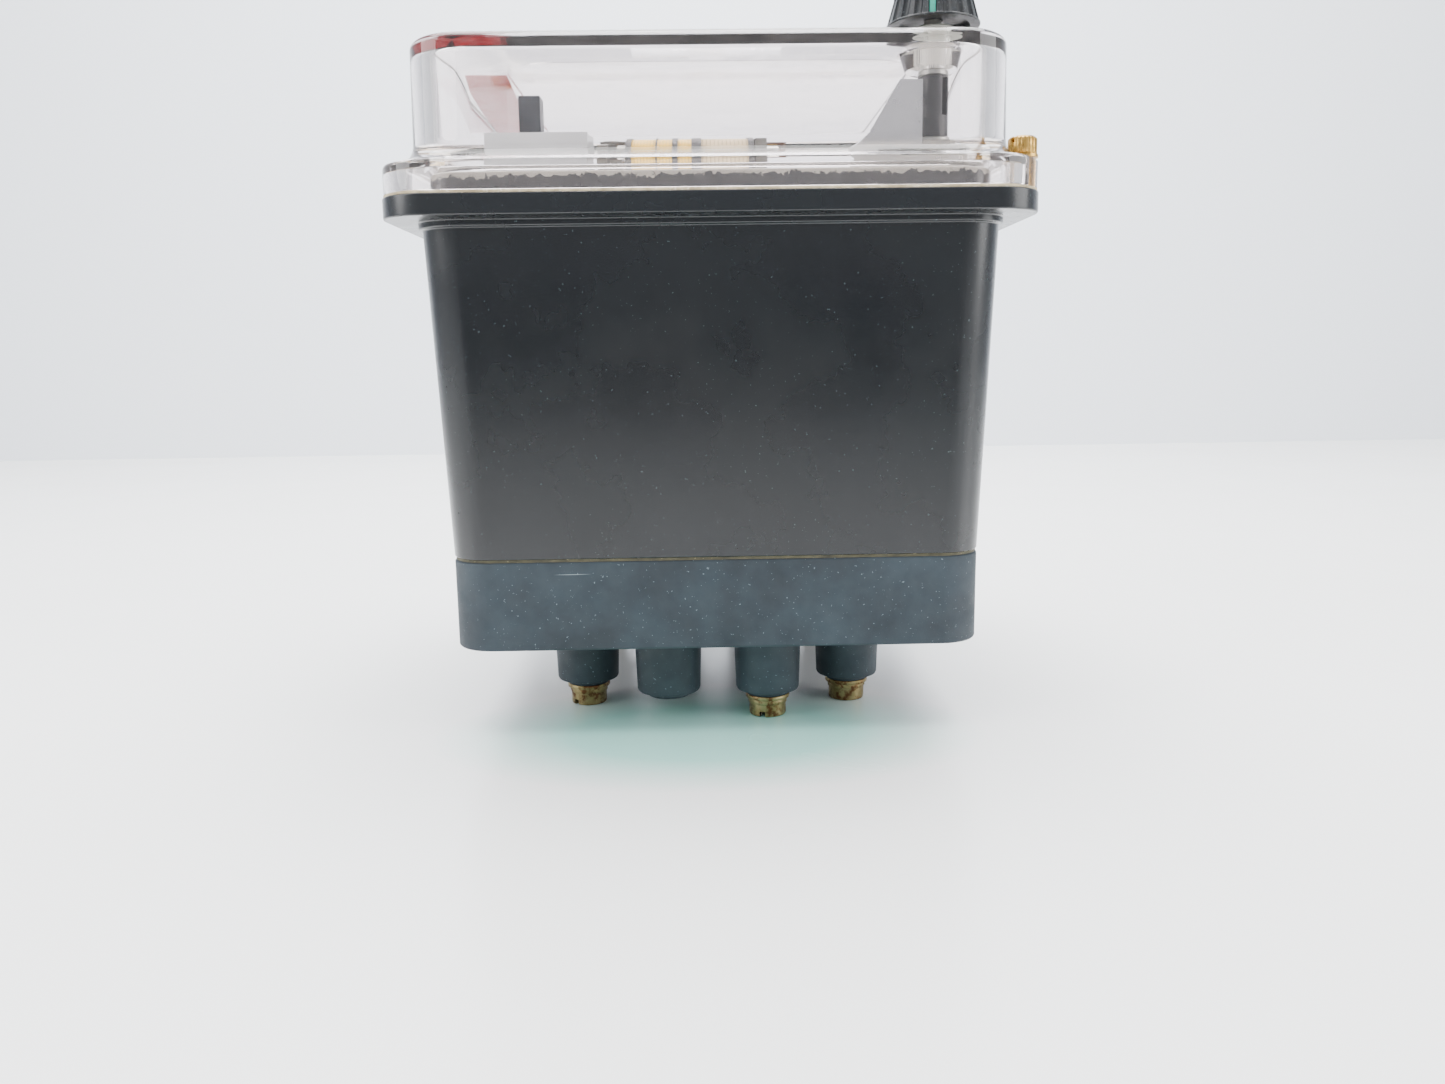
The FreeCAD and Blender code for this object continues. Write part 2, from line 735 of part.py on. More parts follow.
def make_case():
    """The drafted case with its front flange, collar, corner pillars and moulded-in brass inserts."""
    draft = "atan(case_draft / case_height)"
    body = plate("case_block", "base_width", "case_height", "case_bottom", "case_corner", taper=draft)
    register = plate("case_register", "register_width", "register_height", "flange_bottom - register_height",
                     "case_corner")
    flange = plate("case_flange", "flange_width", "flange_height", "flange_bottom", "flange_corner")
    collar = plate("case_collar", "collar_width", "collar_height", "flange_top", "case_corner")
    cavity = plate("case_cavity", "base_width - 2 * case_wall", "collar_top - case_bottom", "case_bottom",
                   "case_corner - case_wall", taper=draft)
    shell = cut("case_shell", fuse("case_outside", [body, register, flange, collar]), [cavity])
    pillars, holes, inserts = [], [], []
    for index, (x, y) in enumerate(four_corners("pillar_place")):
        pillars.append(cylinder(f"pillar_{index}", "pillar_dia", "chassis_bottom - case_bottom", x, y,
                                "case_bottom"))
        for end, level, thread in (("low", "case_bottom", "base_thread"),
                                   ("high", "chassis_bottom - insert_length", "small_thread")):
            holes.append(cylinder(f"insert_hole_{end}_{index}", "insert_dia", "insert_length", x, y, level))
            barrel = cylinder(f"insert_{end}_{index}_barrel", "insert_dia", "insert_length", x, y, level)
            bore = cylinder(f"insert_{end}_{index}_bore", f"{thread} + 2 * screw_gap", "insert_length", x, y,
                            level)
            inserts.append(cut(f"insert_{end}_{index}", barrel, [bore]))
    cover_inserts = []
    for index, side in enumerate((1, -1)):
        x, y = f"{side} * cover_screw_x", f"{-side} * cover_screw_y"
        holes.append(cylinder(f"cover_insert_hole_{index}", "cover_insert_dia", "cover_insert_length", x, y,
                              "cover_insert_level"))
        barrel = cylinder(f"cover_insert_{index}_barrel", "cover_insert_dia", "cover_insert_length", x, y,
                          "cover_insert_level")
        bore = cylinder(f"cover_insert_{index}_bore", "cover_screw_dia + 2 * screw_gap",
                        "cover_insert_length", x, y,
                        "cover_insert_level")
        cover_inserts.append(cut(f"cover_insert_{index}", barrel, [bore]))
    node(cut("CaseBody", fuse("case_solid", [shell] + pillars), holes), "case_body")
    node(group("CaseInserts", inserts), "case_inserts")
    node(group("CoverInserts", cover_inserts), "cover_inserts")


def make_chassis():
    """The steel plate that carries the works, its screws, and the insulated bushes where the wires come through."""
    slab = plate("chassis_slab", "chassis_width", "chassis_height", "chassis_bottom", "chassis_corner")
    holes, screws, feeds = [], [], []
    for index, (x, y) in enumerate(four_corners("pillar_place")):
        holes.append(cylinder(f"chassis_hole_{index}", "small_thread + 2 * fit_gap", "chassis_height", x, y,
                              "chassis_bottom"))
        screws.append(headed_screw(f"chassis_screw_{index}", "small_thread", "chassis_screw_length",
                                   "small_head_dia", "small_head_height", x, y, "chassis_top"))
    for index, angle in enumerate(TERMINALS):
        x, y = on_ring("riser_radius", angle)
        holes.append(cylinder(f"feed_hole_{index}", "feed_dia", "chassis_height", x, y, "chassis_bottom"))
        bush = fuse(f"feed_{index}_solid", [
            cylinder(f"feed_{index}_barrel", "feed_dia", "chassis_height", x, y, "chassis_bottom"),
            cylinder(f"feed_{index}_flange", "feed_flange_dia", "feed_flange_height", x, y, "chassis_top"),
        ])
        feeds.append(cut(f"feed_{index}", bush, [
            cylinder(f"feed_{index}_bore", "riser_dia + 2 * screw_gap",
                     "chassis_height + feed_flange_height", x, y,
                     "chassis_bottom"),
        ]))
    fixings = chassis_fixings()
    for index, (x, y) in enumerate(fixings):
        holes.append(cylinder(f"fixing_hole_{index}", "small_thread + 2 * screw_gap", "chassis_height", x, y,
                              "chassis_bottom"))
    node(cut("ChassisPlate", slab, holes), "chassis_plate")
    node(group("ChassisScrews", screws), "chassis_screws")
    node(group("FeedBushes", feeds), "feed_bushes")


def yoke_fixings():
    """Where the two screws of the yoke's foot go."""
    y = "yoke_back + yoke_foot_depth / 2"
    return [(f"{side} * yoke_foot_length / 4", y) for side in (-1, 1)]


def block_fixings():
    """Where the two screws of the contact block go."""
    x = "block_left + block_length / 2"
    y = "block_front + block_depth - block_screw_inset"
    return [(f"{x} + {side} * block_screw_spacing / 2", y) for side in (-1, 1)]


def bracket_fixings():
    """Where the two screws of the spindle bracket's foot go."""
    x = "knob_place - bracket_left + bracket_web / 2"
    y = "0 - knob_place - bracket_front + bracket_thick + small_head_dia"
    return [(x, f"{y} + {step} * bracket_screw_pitch") for step in (0, 1)]


def clamp_fixings():
    """Where the two screws of the capacitor clamp go."""
    return [("0", f"capacitor_back + {side} * clamp_foot / 2") for side in (-1, 1)]


def chassis_fixings():
    """Every screw that holds a unit down on the chassis."""
    return yoke_fixings() + block_fixings() + bracket_fixings() + clamp_fixings()


def small_screws(name, label, points, level, thickness):
    """Screws that hold a unit to the chassis through a given thickness."""
    screws = []
    for index, (x, y) in enumerate(points):
        screws.append(headed_screw(f"{name}_{index}", "small_thread", f"{thickness} + chassis_height",
                                   "small_head_dia", "small_head_height", x, y, level))
    node(group(name, screws), label)


def make_magnet():
    """The yoke, core, bobbin and windings of the electromagnet. Its axis runs left to right."""
    wall_low = "chassis_top"
    wall = box("yoke_wall", "pole_left + core_end + yoke_thick", "yoke_thick", "yoke_height", "pole_face",
               "yoke_front", wall_low)
    end = box("yoke_end", "yoke_thick", "yoke_end_width", "yoke_height - yoke_end_sink", "core_end",
              "yoke_front + yoke_thick - yoke_end_width", f"{wall_low} + yoke_end_sink")
    foot = middle_box("yoke_foot", "yoke_foot_length", "yoke_foot_depth", "yoke_thick", "0",
                      "yoke_back + yoke_foot_depth / 2", wall_low)
    lug_length = "hinge_offset + knuckle_dia / 2"
    low_lug = box("yoke_low_lug", lug_length, "knuckle_dia", "lug_height", "hinge_x - knuckle_dia / 2",
                  "hinge_y - knuckle_dia / 2", "armature_bottom - lug_gap - lug_height")
    high_lug = box("yoke_high_lug", lug_length, "knuckle_dia", "yoke_top - armature_top - lug_gap",
                   "hinge_x - knuckle_dia / 2", "hinge_y - knuckle_dia / 2", "armature_top + lug_gap")
    holes = [
        cylinder("pin_hole", "hinge_dia", "yoke_height", "hinge_x", "hinge_y", wall_low),
        cylinder("core_screw_hole", "terminal_thread + 2 * screw_gap", "yoke_thick", "core_end",
                 "0 - coil_back",
                 "coil_level", ALONG_X),
    ]
    for index, (x, y) in enumerate(yoke_fixings()):
        holes.append(cylinder(f"yoke_foot_hole_{index}", "small_thread + 2 * screw_gap", "yoke_thick", x, y,
                              wall_low))
    node(cut("Yoke", fuse("yoke_solid", [wall, end, foot, low_lug, high_lug]), holes), "yoke")
    small_screws("YokeScrews", "yoke_screws", yoke_fixings(), "chassis_top + yoke_thick", "yoke_thick")

    pin_low = "armature_bottom - lug_gap - lug_height"
    pin = cylinder("pin_shank", "hinge_dia", f"yoke_top - ({pin_low})", "hinge_x", "hinge_y", pin_low)
    head = cylinder("pin_head", "pin_head_dia", "strip_thick", "hinge_x", "hinge_y", "yoke_top")
    node(fuse("HingePin", [pin, head]), "armature_hinge_pin")

    rod = cylinder("core_rod", "core_dia", "core_length - pole_height", "pole_face + pole_height",
                   "0 - coil_back",
                   "coil_level", ALONG_X)
    shoe = cylinder("core_shoe", "pole_dia", "pole_height", "pole_face", "0 - coil_back", "coil_level",
                    ALONG_X)
    bore = cylinder("core_bore", "terminal_thread + 2 * screw_gap", "core_screw_length - yoke_thick",
                    "core_end - core_screw_length + yoke_thick", "0 - coil_back", "coil_level", ALONG_X)
    node(cut("Core", fuse("core_solid", [rod, shoe]), [bore]), "core")
    shank = cylinder("core_screw_shank", "terminal_thread", "core_screw_length",
                     "core_end + yoke_thick - core_screw_length", "0 - coil_back", "coil_level", ALONG_X)
    core_head = cylinder("core_screw_head", "head_dia", "head_height", "core_end + yoke_thick",
                         "0 - coil_back",
                         "coil_level", ALONG_X)
    core_slot = box("core_screw_slot", "slot_depth", "head_dia", "slot_width",
                    "core_end + yoke_thick + head_height - slot_depth", "0 - coil_back - head_dia / 2",
                    "coil_level - slot_width / 2")
    node(cut("CoreScrew", fuse("core_screw_solid", [shank, core_head]), [core_slot]), "core_screw")

    starts, walls = ["bobbin_start"], ["bobbin_wall"]
    for turn in ("first", "second", "third"):
        starts.append(f"{starts[-1]} + {walls[-1]} + {turn}_section")
        walls.append(f"{turn}_partition")
    starts.append("bobbin_start + bobbin_length - bobbin_wall")
    walls.append("bobbin_wall")
    flanges = []
    for index, (start, wall) in enumerate(zip(starts, walls)):
        flanges.append(cylinder(f"bobbin_flange_{index}", "bobbin_flange_dia", wall, start, "0 - coil_back",
                                "coil_level", ALONG_X))
    tube_dia = "(core_dia + 2 * bore_gap + 2 * bobbin_wall)"
    tube = cylinder("bobbin_tube", tube_dia, "bobbin_length", "bobbin_start", "0 - coil_back", "coil_level",
                    ALONG_X)
    hollow = cylinder("bobbin_bore", "core_dia + 2 * bore_gap", "bobbin_length", "bobbin_start",
                      "0 - coil_back",
                      "coil_level", ALONG_X)
    node(cut("Bobbin", fuse("bobbin_solid", flanges + [tube]), [hollow]), "coil_bobbin")
    sections = []
    for index, (start, wall, stop) in enumerate(zip(starts, walls, starts[1:])):
        low = f"{start} + {wall}"
        length = f"({stop}) - ({low})"
        ring = cylinder(f"winding_{index}_ring", "winding_dia", length, low, "0 - coil_back", "coil_level",
                        ALONG_X)
        core = cylinder(f"winding_{index}_bore", tube_dia, length, low, "0 - coil_back", "coil_level",
                        ALONG_X)
        sections.append(cut(f"winding_{index}", ring, [core]))
    node(group("MainWinding", sections[:-1]), "main_winding")
    node(sections[-1], "holding_winding")


def make_armature():
    """The hinged armature: one leg before the pole, one arm behind the yoke with the moving contacts."""
    knuckle = cylinder("armature_knuckle", "knuckle_dia", "armature_height", "hinge_x", "hinge_y",
                       "armature_bottom")
    leg = box("armature_leg", "armature_thick", "armature_reach", "armature_height",
              "pole_face - air_gap - armature_thick", "hinge_y - armature_reach", "armature_bottom")
    link = box("armature_link", "knuckle_dia * 3 / 4", "armature_back - (hinge_y)", "armature_height",
               "hinge_x - knuckle_dia / 2", "hinge_y", "armature_bottom")
    arm = box("armature_arm", "armature_arm + knuckle_dia / 2", "armature_thick", "armature_height",
              "hinge_x - knuckle_dia / 2", "armature_back - armature_thick", "armature_bottom")
    bore = cylinder("armature_bore", "hinge_dia + 2 * running_gap", "armature_height", "hinge_x", "hinge_y",
                    "armature_bottom")
    node(cut("Armature", fuse("armature_solid", [knuckle, leg, link, arm]), [bore]), "armature")
    carrier_low = "armature_middle - carrier_height / 2"
    carrier = box("ContactCarrier", "carrier_length", "carrier_depth", "carrier_height",
                  "hinge_x + armature_arm - carrier_length", "armature_back", carrier_low)
    node(carrier, "contact_carrier")
    strips = []
    for index in range(int(size("contact_count"))):
        level = f"armature_middle + {index - 1} * contact_pitch"
        strip = box(f"moving_strip_{index}", "moving_strip_length", "strip_thick", "strip_width",
                    "hinge_x + armature_arm - moving_strip_length + strip_thick", "carrier_back",
                    f"{level} - strip_width / 2")
        button = cylinder(f"moving_button_{index}", "button_dia", "button_height", "contact_x",
                          "carrier_back + strip_thick", level, ALONG_Y)
        strips.append(fuse(f"moving_contact_{index}", [strip, button]))
    node(group("MovingContacts", strips), "moving_contacts")


def make_contact_block():
    """The insulating block with the fixed contacts, their screws and the armature's return spring."""
    block = box("block_solid", "block_length", "block_depth", "block_height", "block_left", "block_front",
                "chassis_top")
    holes = []
    for index, (x, y) in enumerate(block_fixings()):
        holes.append(cylinder(f"block_hole_{index}", "small_thread + 2 * screw_gap", "block_height", x, y,
                              "chassis_top"))
    strips, screws = [], []
    screw_x = "contact_x + fixed_strip_length / 2"
    for index in range(int(size("contact_count"))):
        level = f"armature_middle + {index - 1} * contact_pitch"
        strip = box(f"fixed_strip_{index}", "fixed_strip_length", "strip_thick", "strip_width",
                    "contact_x - button_dia", "block_front - strip_thick", f"{level} - strip_width / 2")
        button = cylinder(f"fixed_button_{index}", "button_dia", "button_height", "contact_x - strip_thick",
                          "fixed_face", level, ALONG_Y)
        hole = cylinder(f"fixed_strip_hole_{index}", "strip_screw_dia + 2 * screw_gap", "strip_thick",
                        screw_x,
                        "block_front - strip_thick", level, ALONG_Y)
        strips.append(cut(f"fixed_contact_{index}", fuse(f"fixed_contact_{index}_solid", [strip, button]),
                          [hole]))
        holes.append(cylinder(f"strip_screw_hole_{index}", "strip_screw_dia + 2 * screw_gap",
                              "strip_screw_length",
                              screw_x, "block_front", level, ALONG_Y))
        shank = cylinder(f"strip_screw_{index}_shank", "strip_screw_dia", "strip_screw_length", screw_x,
                         "block_front - strip_thick", level, ALONG_Y)
        head = cylinder(f"strip_screw_{index}_head", "strip_screw_head_dia", "strip_screw_head_height",
                        screw_x,
                        "block_front - strip_thick - strip_screw_head_height", level, ALONG_Y)
        screws.append(fuse(f"strip_screw_{index}", [shank, head]))
    node(cut("ContactBlock", block, holes), "contact_block")
    node(group("FixedContacts", strips), "fixed_contacts")
    node(group("StripScrews", screws), "contact_strip_screws")
    small_screws("BlockScrews", "contact_block_screws", block_fixings(), "chassis_top + block_height",
                 "block_height")
    room = coil_spring("ReturnSpring", size("return_spring_dia"), size("return_spring_wire"),
                       size("return_spring_pitch"), spring_room())
    place(room, "spring_x + return_spring_inset", "armature_back + return_spring_gap", "armature_middle",
          ALONG_Y)
    node(room, "return_spring")


def spring_room():
    """The length between the armature's arm and the contact block, less a gap at the arm."""
    parts = ("carrier_depth", "strip_thick", "button_height", "contact_gap", "button_height", "strip_thick")
    return sum(size(part) for part in parts) - size("return_spring_gap")


def make_setting_unit():
    """The potentiometer under the knob, its bracket, and the slotted coupling that the knob's blade turns."""
    x, y = "knob_place", "0 - knob_place"
    can = fuse("pot_solid", [
        cylinder("pot_can", "pot_dia", "pot_height", x, y, "pot_bottom"),
        cylinder("pot_bush", "pot_bush_dia", "pot_bush_length", x, y, "pot_top"),
    ])
    node(cut("PotentiometerCase", can, [
        cylinder("pot_hollow", "pot_dia - 2 * pot_wall", "pot_height - 2 * pot_wall", x, y,
                 "pot_bottom + pot_wall"),
        cylinder("pot_bore", "shaft_dia + 2 * running_gap", "pot_wall + pot_bush_length", x, y,
                 "pot_top - pot_wall"),
    ]), "potentiometer_case")
    ring = cylinder("track_ring", "track_dia", "track_rise + track_height", x, y, "pot_bottom + pot_wall")
    hole = cylinder("track_bore", "track_dia - 2 * track_wall", "track_rise + track_height", x, y,
                    "pot_bottom + pot_wall")
    node(cut("ResistanceTrack", ring, [hole]), "resistance_track")
    nut = hexagon("pot_nut_solid", "pot_nut_dia", "pot_nut_height", x, y, "pot_top + bracket_thick")
    node(cut("PotentiometerNut", nut, [
        cylinder("pot_nut_bore", "pot_bush_dia + 2 * screw_gap", "pot_nut_height", x, y,
                 "pot_top + bracket_thick"),
    ]), "potentiometer_nut")
    tags = []
    for index in range(3):
        angle = f"(pot_tag_turn + {index - 1} * pot_tag_step)"
        tag_x, tag_y = f"{x} + pot_dia / 2 * cos({angle})", f"{y} + pot_dia / 2 * sin({angle})"
        tags.append(turned_box(f"pot_tag_{index}", "pot_tag_length", "pot_tag_width", "pot_tag_thick", tag_x,
                               tag_y,
                               "pot_bottom + pot_wall", angle))
    node(group("PotentiometerTags", tags), "potentiometer_tags")
    hub = cylinder("wiper_hub", "wiper_hub_dia", "wiper_hub_height", x, y, "wiper_bottom")
    arm = box("wiper_arm", "wiper_width", "track_dia / 2 - track_wall / 2", "wiper_thick",
              f"{x} - wiper_width / 2",
              y, "wiper_bottom")
    shaft_hole = cylinder("wiper_bore", "shaft_dia", "wiper_hub_height", x, y, "wiper_bottom")
    node(cut("Wiper", fuse("wiper_solid", [hub, arm]), [shaft_hole]), "wiper")
    spindle_low = "wiper_bottom - fit_gap"
    node(cylinder("SettingSpindle", "shaft_dia", f"sleeve_bottom + sleeve_grip - ({spindle_low})", x, y,
                  spindle_low), "setting_spindle")
    sleeve = cylinder("sleeve_bar", "sleeve_dia", "sleeve_top - (sleeve_bottom)", x, y, "sleeve_bottom")
    node(cut("SpindleCoupling", sleeve, [
        cylinder("sleeve_grip_bore", "shaft_dia", "sleeve_grip", x, y, "sleeve_bottom"),
        crossing_box("sleeve_slot", "(sleeve_dia + fit_gap)", "blade_thick + 2 * sleeve_slot_gap",
                     "sleeve_slot_depth", x, y, "sleeve_top - sleeve_slot_depth", "blade_turn"),
    ]), "spindle_coupling")

    left = "knob_place - bracket_left"
    pillar_right = "knob_place - bracket_pillar_gap"
    lug_level = "pot_top"
    plate_points = [
        (left, "chassis_top"),
        (f"{left} + bracket_web", "chassis_top"),
        (f"{left} + bracket_web", lug_level),
        (pillar_right, lug_level),
        (pillar_right, "bracket_top"),
        (f"{pillar_right} - bracket_pillar", "bracket_top"),
        (left, lug_level),
    ]
    front = "0 - knob_place - bracket_front"
    web = prism("bracket_web_plate", "XZ_Plane", plate_points, "knob_place + bracket_front - bracket_thick",
                "bracket_thick")
    foot = box("bracket_foot", "bracket_web", "bracket_foot_depth", "bracket_thick", left, front,
               "chassis_top")
    lug = box("bracket_lug", "bracket_left - bracket_web + bracket_lug_right",
              "bracket_front + bracket_lug_back",
              "bracket_thick", f"{left} + bracket_web", front, lug_level)
    fold = box("bracket_fold_plate", "bracket_pillar", "bracket_fold", "bracket_thick",
               f"{pillar_right} - bracket_pillar", front, "bracket_top - bracket_thick")
    bracket = fuse("bracket_solid", [web, foot, lug, fold])
    holes = [cylinder("bracket_bush_hole", "pot_bush_dia + 2 * screw_gap", "bracket_thick", x, y, lug_level)]
    for index, (hole_x, hole_y) in enumerate(bracket_fixings()):
        holes.append(cylinder(f"bracket_hole_{index}", "small_thread + 2 * screw_gap", "bracket_thick",
                              hole_x,
                              hole_y, "chassis_top"))
    node(cut("SpindleBracket", bracket, holes), "spindle_bracket")
    small_screws("BracketScrews", "bracket_screws", bracket_fixings(), "chassis_top + bracket_thick",
                 "bracket_thick")


def make_switch():
    """The auxiliary switch: a block with a sprung test plunger standing up through its lid."""
    left, front = "0 - switch_left", "0 - coil_back - switch_depth / 2"
    block = box("switch_solid", "switch_length", "switch_depth", "switch_height", left, front, "chassis_top")
    middle_x, middle_y = "plunger_length / 2 - plunger_left", "0 - coil_back"
    well_length, well_depth = "plunger_length + 2 * fit_gap", "plunger_depth + 2 * fit_gap"
    well_low = "plunger_spring_level"
    well = middle_box("switch_well", well_length, well_depth, f"switch_top - ({well_low})", middle_x,
                      middle_y,
                      well_low)
    node(cut("SwitchBody", block, [well]), "switch_body")
    lid = box("switch_lid_slab", "switch_length", "switch_depth", "switch_lid_height", left, front,
              "switch_top")
    hole = middle_box("switch_lid_hole", well_length, well_depth, "switch_lid_height", middle_x, middle_y,
                      "switch_top")
    node(cut("SwitchLid", lid, [hole]), "switch_lid")
    node(middle_box("TestPlunger", "plunger_length", "plunger_depth", "plunger_top - (plunger_bottom)",
                    middle_x,
                    middle_y, "plunger_bottom"), "test_plunger")
    spring = coil_spring("PlungerSpring", size("plunger_spring_dia"), size("plunger_spring_wire"),
                         size("plunger_spring_pitch"), size("plunger_spring_height") - size("fit_gap"))
    place(spring, middle_x, middle_y, f"{well_low} + fit_gap / 2")
    node(spring, "plunger_spring")


def make_capacitor():
    """The timing capacitor and the clamp that holds it to the chassis."""
    can = cylinder("Capacitor", "capacitor_dia", "capacitor_length", "0 - capacitor_length / 2",
                   "capacitor_back",
                   "capacitor_level", ALONG_X)
    node(can, "timing_capacitor")
    ring = cylinder("clamp_ring", "capacitor_dia + 2 * clamp_wall", "clamp_width", "0 - clamp_width / 2",
                    "capacitor_back", "capacitor_level", ALONG_X)
    foot = middle_box("clamp_foot", "clamp_width", "clamp_foot + clamp_width",
                      "capacitor_lift - clamp_wall / 2",
                      "0", "capacitor_back", "chassis_top")
    holes = [cylinder("clamp_bore", "capacitor_dia + 2 * running_gap", "clamp_width", "0 - clamp_width / 2",
                      "capacitor_back", "capacitor_level", ALONG_X)]
    for index, (x, y) in enumerate(clamp_fixings()):
        holes.append(cylinder(f"clamp_hole_{index}", "small_thread + 2 * screw_gap", "capacitor_lift", x, y,
                              "chassis_top"))
    node(cut("CapacitorClamp", fuse("clamp_solid", [ring, foot]), holes), "capacitor_clamp")
    small_screws("ClampScrews", "clamp_screws", clamp_fixings(),
                 "chassis_top + capacitor_lift - clamp_wall / 2", "capacitor_lift - clamp_wall / 2")


def make_cover():
    """The clear cover with its rim, its gasket, two captive screws, the label strip and the knob's bush."""
    foot_draft = "-1 * atan(cover_draft / cover_rise)"
    flare_draft = "-1 * atan((flare_reach + cover_wall / 2) / flare_height)"
    rim = plate("cover_rim", "flange_width", "rim_height", "rim_bottom", "flange_corner", top_edge="rim_edge")
    wall = plate("cover_wall_block", "cover_foot_width", "cover_rise", "rim_top", "cover_corner",
                 taper=foot_draft,
                 top_edge="cover_edge")
    flare = plate("cover_flare", "flare_foot_width", "flare_height", "rim_top", "cover_corner + flare_reach",
                  taper=flare_draft)
    room_width = "cover_top_width - 2 * cover_wall"
    room = plate("cover_room", room_width, "cover_inside - rim_bottom", "rim_bottom",
                 "cover_corner - cover_wall",
                 top_edge="cover_inner_edge")
    skirt = plate("cover_skirt_room", "flange_width - 2 * rim_wall", "rim_inside - rim_bottom", "rim_bottom",
                  "flange_corner - rim_wall")
    window = plate("cover_window", "window_width", "window_depth", "cover_inside", "window_corner")
    shell = cut("cover_shell", fuse("cover_outside", [rim, wall, flare]), [room, skirt, window])
    x, y = "knob_place", "0 - knob_place"
    solids = [shell, cone("knob_funnel", "funnel_end_dia", "funnel_top_dia", "cover_inside - funnel_end", x,
                          y,
                          "funnel_end")]
    holes = [cylinder("knob_bush_hole", "knob_bush_shank", "cover_top - funnel_end", x, y, "funnel_end")]
    screws, washers, gasket_holes = [], [], []
    for index, side in enumerate((1, -1)):
        screw_x, screw_y = f"{side} * cover_screw_x", f"{-side} * cover_screw_y"
        solids.append(cylinder(f"cover_boss_{index}", "cover_boss_dia", "rim_inside - rim_bottom", screw_x,
                               screw_y,
                               "rim_bottom"))
        hole_dia = "cover_screw_dia + fit_gap"
        holes.append(cylinder(f"cover_screw_hole_{index}", hole_dia, "rim_height", screw_x, screw_y,
                              "rim_bottom"))
        gasket_holes.append(cylinder(f"gasket_hole_{index}", "cover_boss_dia", "cover_gasket_height", screw_x,
                                     screw_y, "flange_top"))
        screw = fuse(f"cover_screw_{index}_solid", [
            cylinder(f"cover_screw_{index}_head", "cover_screw_head_dia", "cover_screw_head_height", screw_x,
                     screw_y, "cover_screw_level"),
            cylinder(f"cover_screw_{index}_shank", "cover_screw_dia", "cover_screw_level - flange_top + "
                     "cover_screw_reach", screw_x, screw_y, "flange_top - cover_screw_reach"),
        ])
        slot = middle_box(f"cover_screw_{index}_slot", "cover_screw_head_dia + fit_gap", "strip_thick",
                          "slot_depth", screw_x, screw_y,
                          "cover_screw_level + cover_screw_head_height - slot_depth")
        screws.append(cut(f"cover_screw_{index}", screw, [slot]))
        washer = cylinder(f"cover_washer_{index}_disc", "cover_washer_dia", "cover_washer_height", screw_x,
                          screw_y,
                          "rim_top")
        washers.append(cut(f"cover_washer_{index}", washer, [
            cylinder(f"cover_washer_{index}_bore", hole_dia, "cover_washer_height", screw_x, screw_y,
                     "rim_top"),
        ]))
    node(cut("ClearCover", fuse("cover_solid", solids), holes), "clear_cover")
    node(group("CoverScrews", screws), "cover_screws")
    node(group("CoverWashers", washers), "cover_washers")
    ring = plate("cover_gasket_plate", "flange_width - 2 * gasket_inset", "cover_gasket_height", "flange_top",
                 "flange_corner - gasket_inset")
    opening = plate("cover_gasket_window", "flange_width - 2 * rim_wall + 2 * gasket_inset",
                    "cover_gasket_height", "flange_top", "flange_corner - rim_wall + gasket_inset")
    node(cut("CoverGasket", ring, [opening] + gasket_holes), "cover_gasket")
    label = turned_box("FrontLabel", "label_length", "label_width", "label_height",
                       "label_inset - cover_top_width / 2 + label_length / 2 * sin(label_turn)",
                       "0 - label_length / 2 * cos(label_turn)", "cover_top", "(90 + label_turn)")
    node(label, "front_label")
    bush = fuse("knob_bush_solid", [
        cylinder("knob_bush_collar", "knob_bush_dia", "knob_bush_flange", x, y, "cover_top"),
        cylinder("knob_bush_barrel", "knob_bush_shank", "cover_top - funnel_end", x, y, "funnel_end"),
    ])
    node(cut("KnobBush", bush, [
        cylinder("knob_bush_bore", "shaft_dia + 2 * running_gap",
                 "cover_top + knob_bush_flange - (funnel_end)", x,
                 y, "funnel_end"),
    ]), "knob_bush")


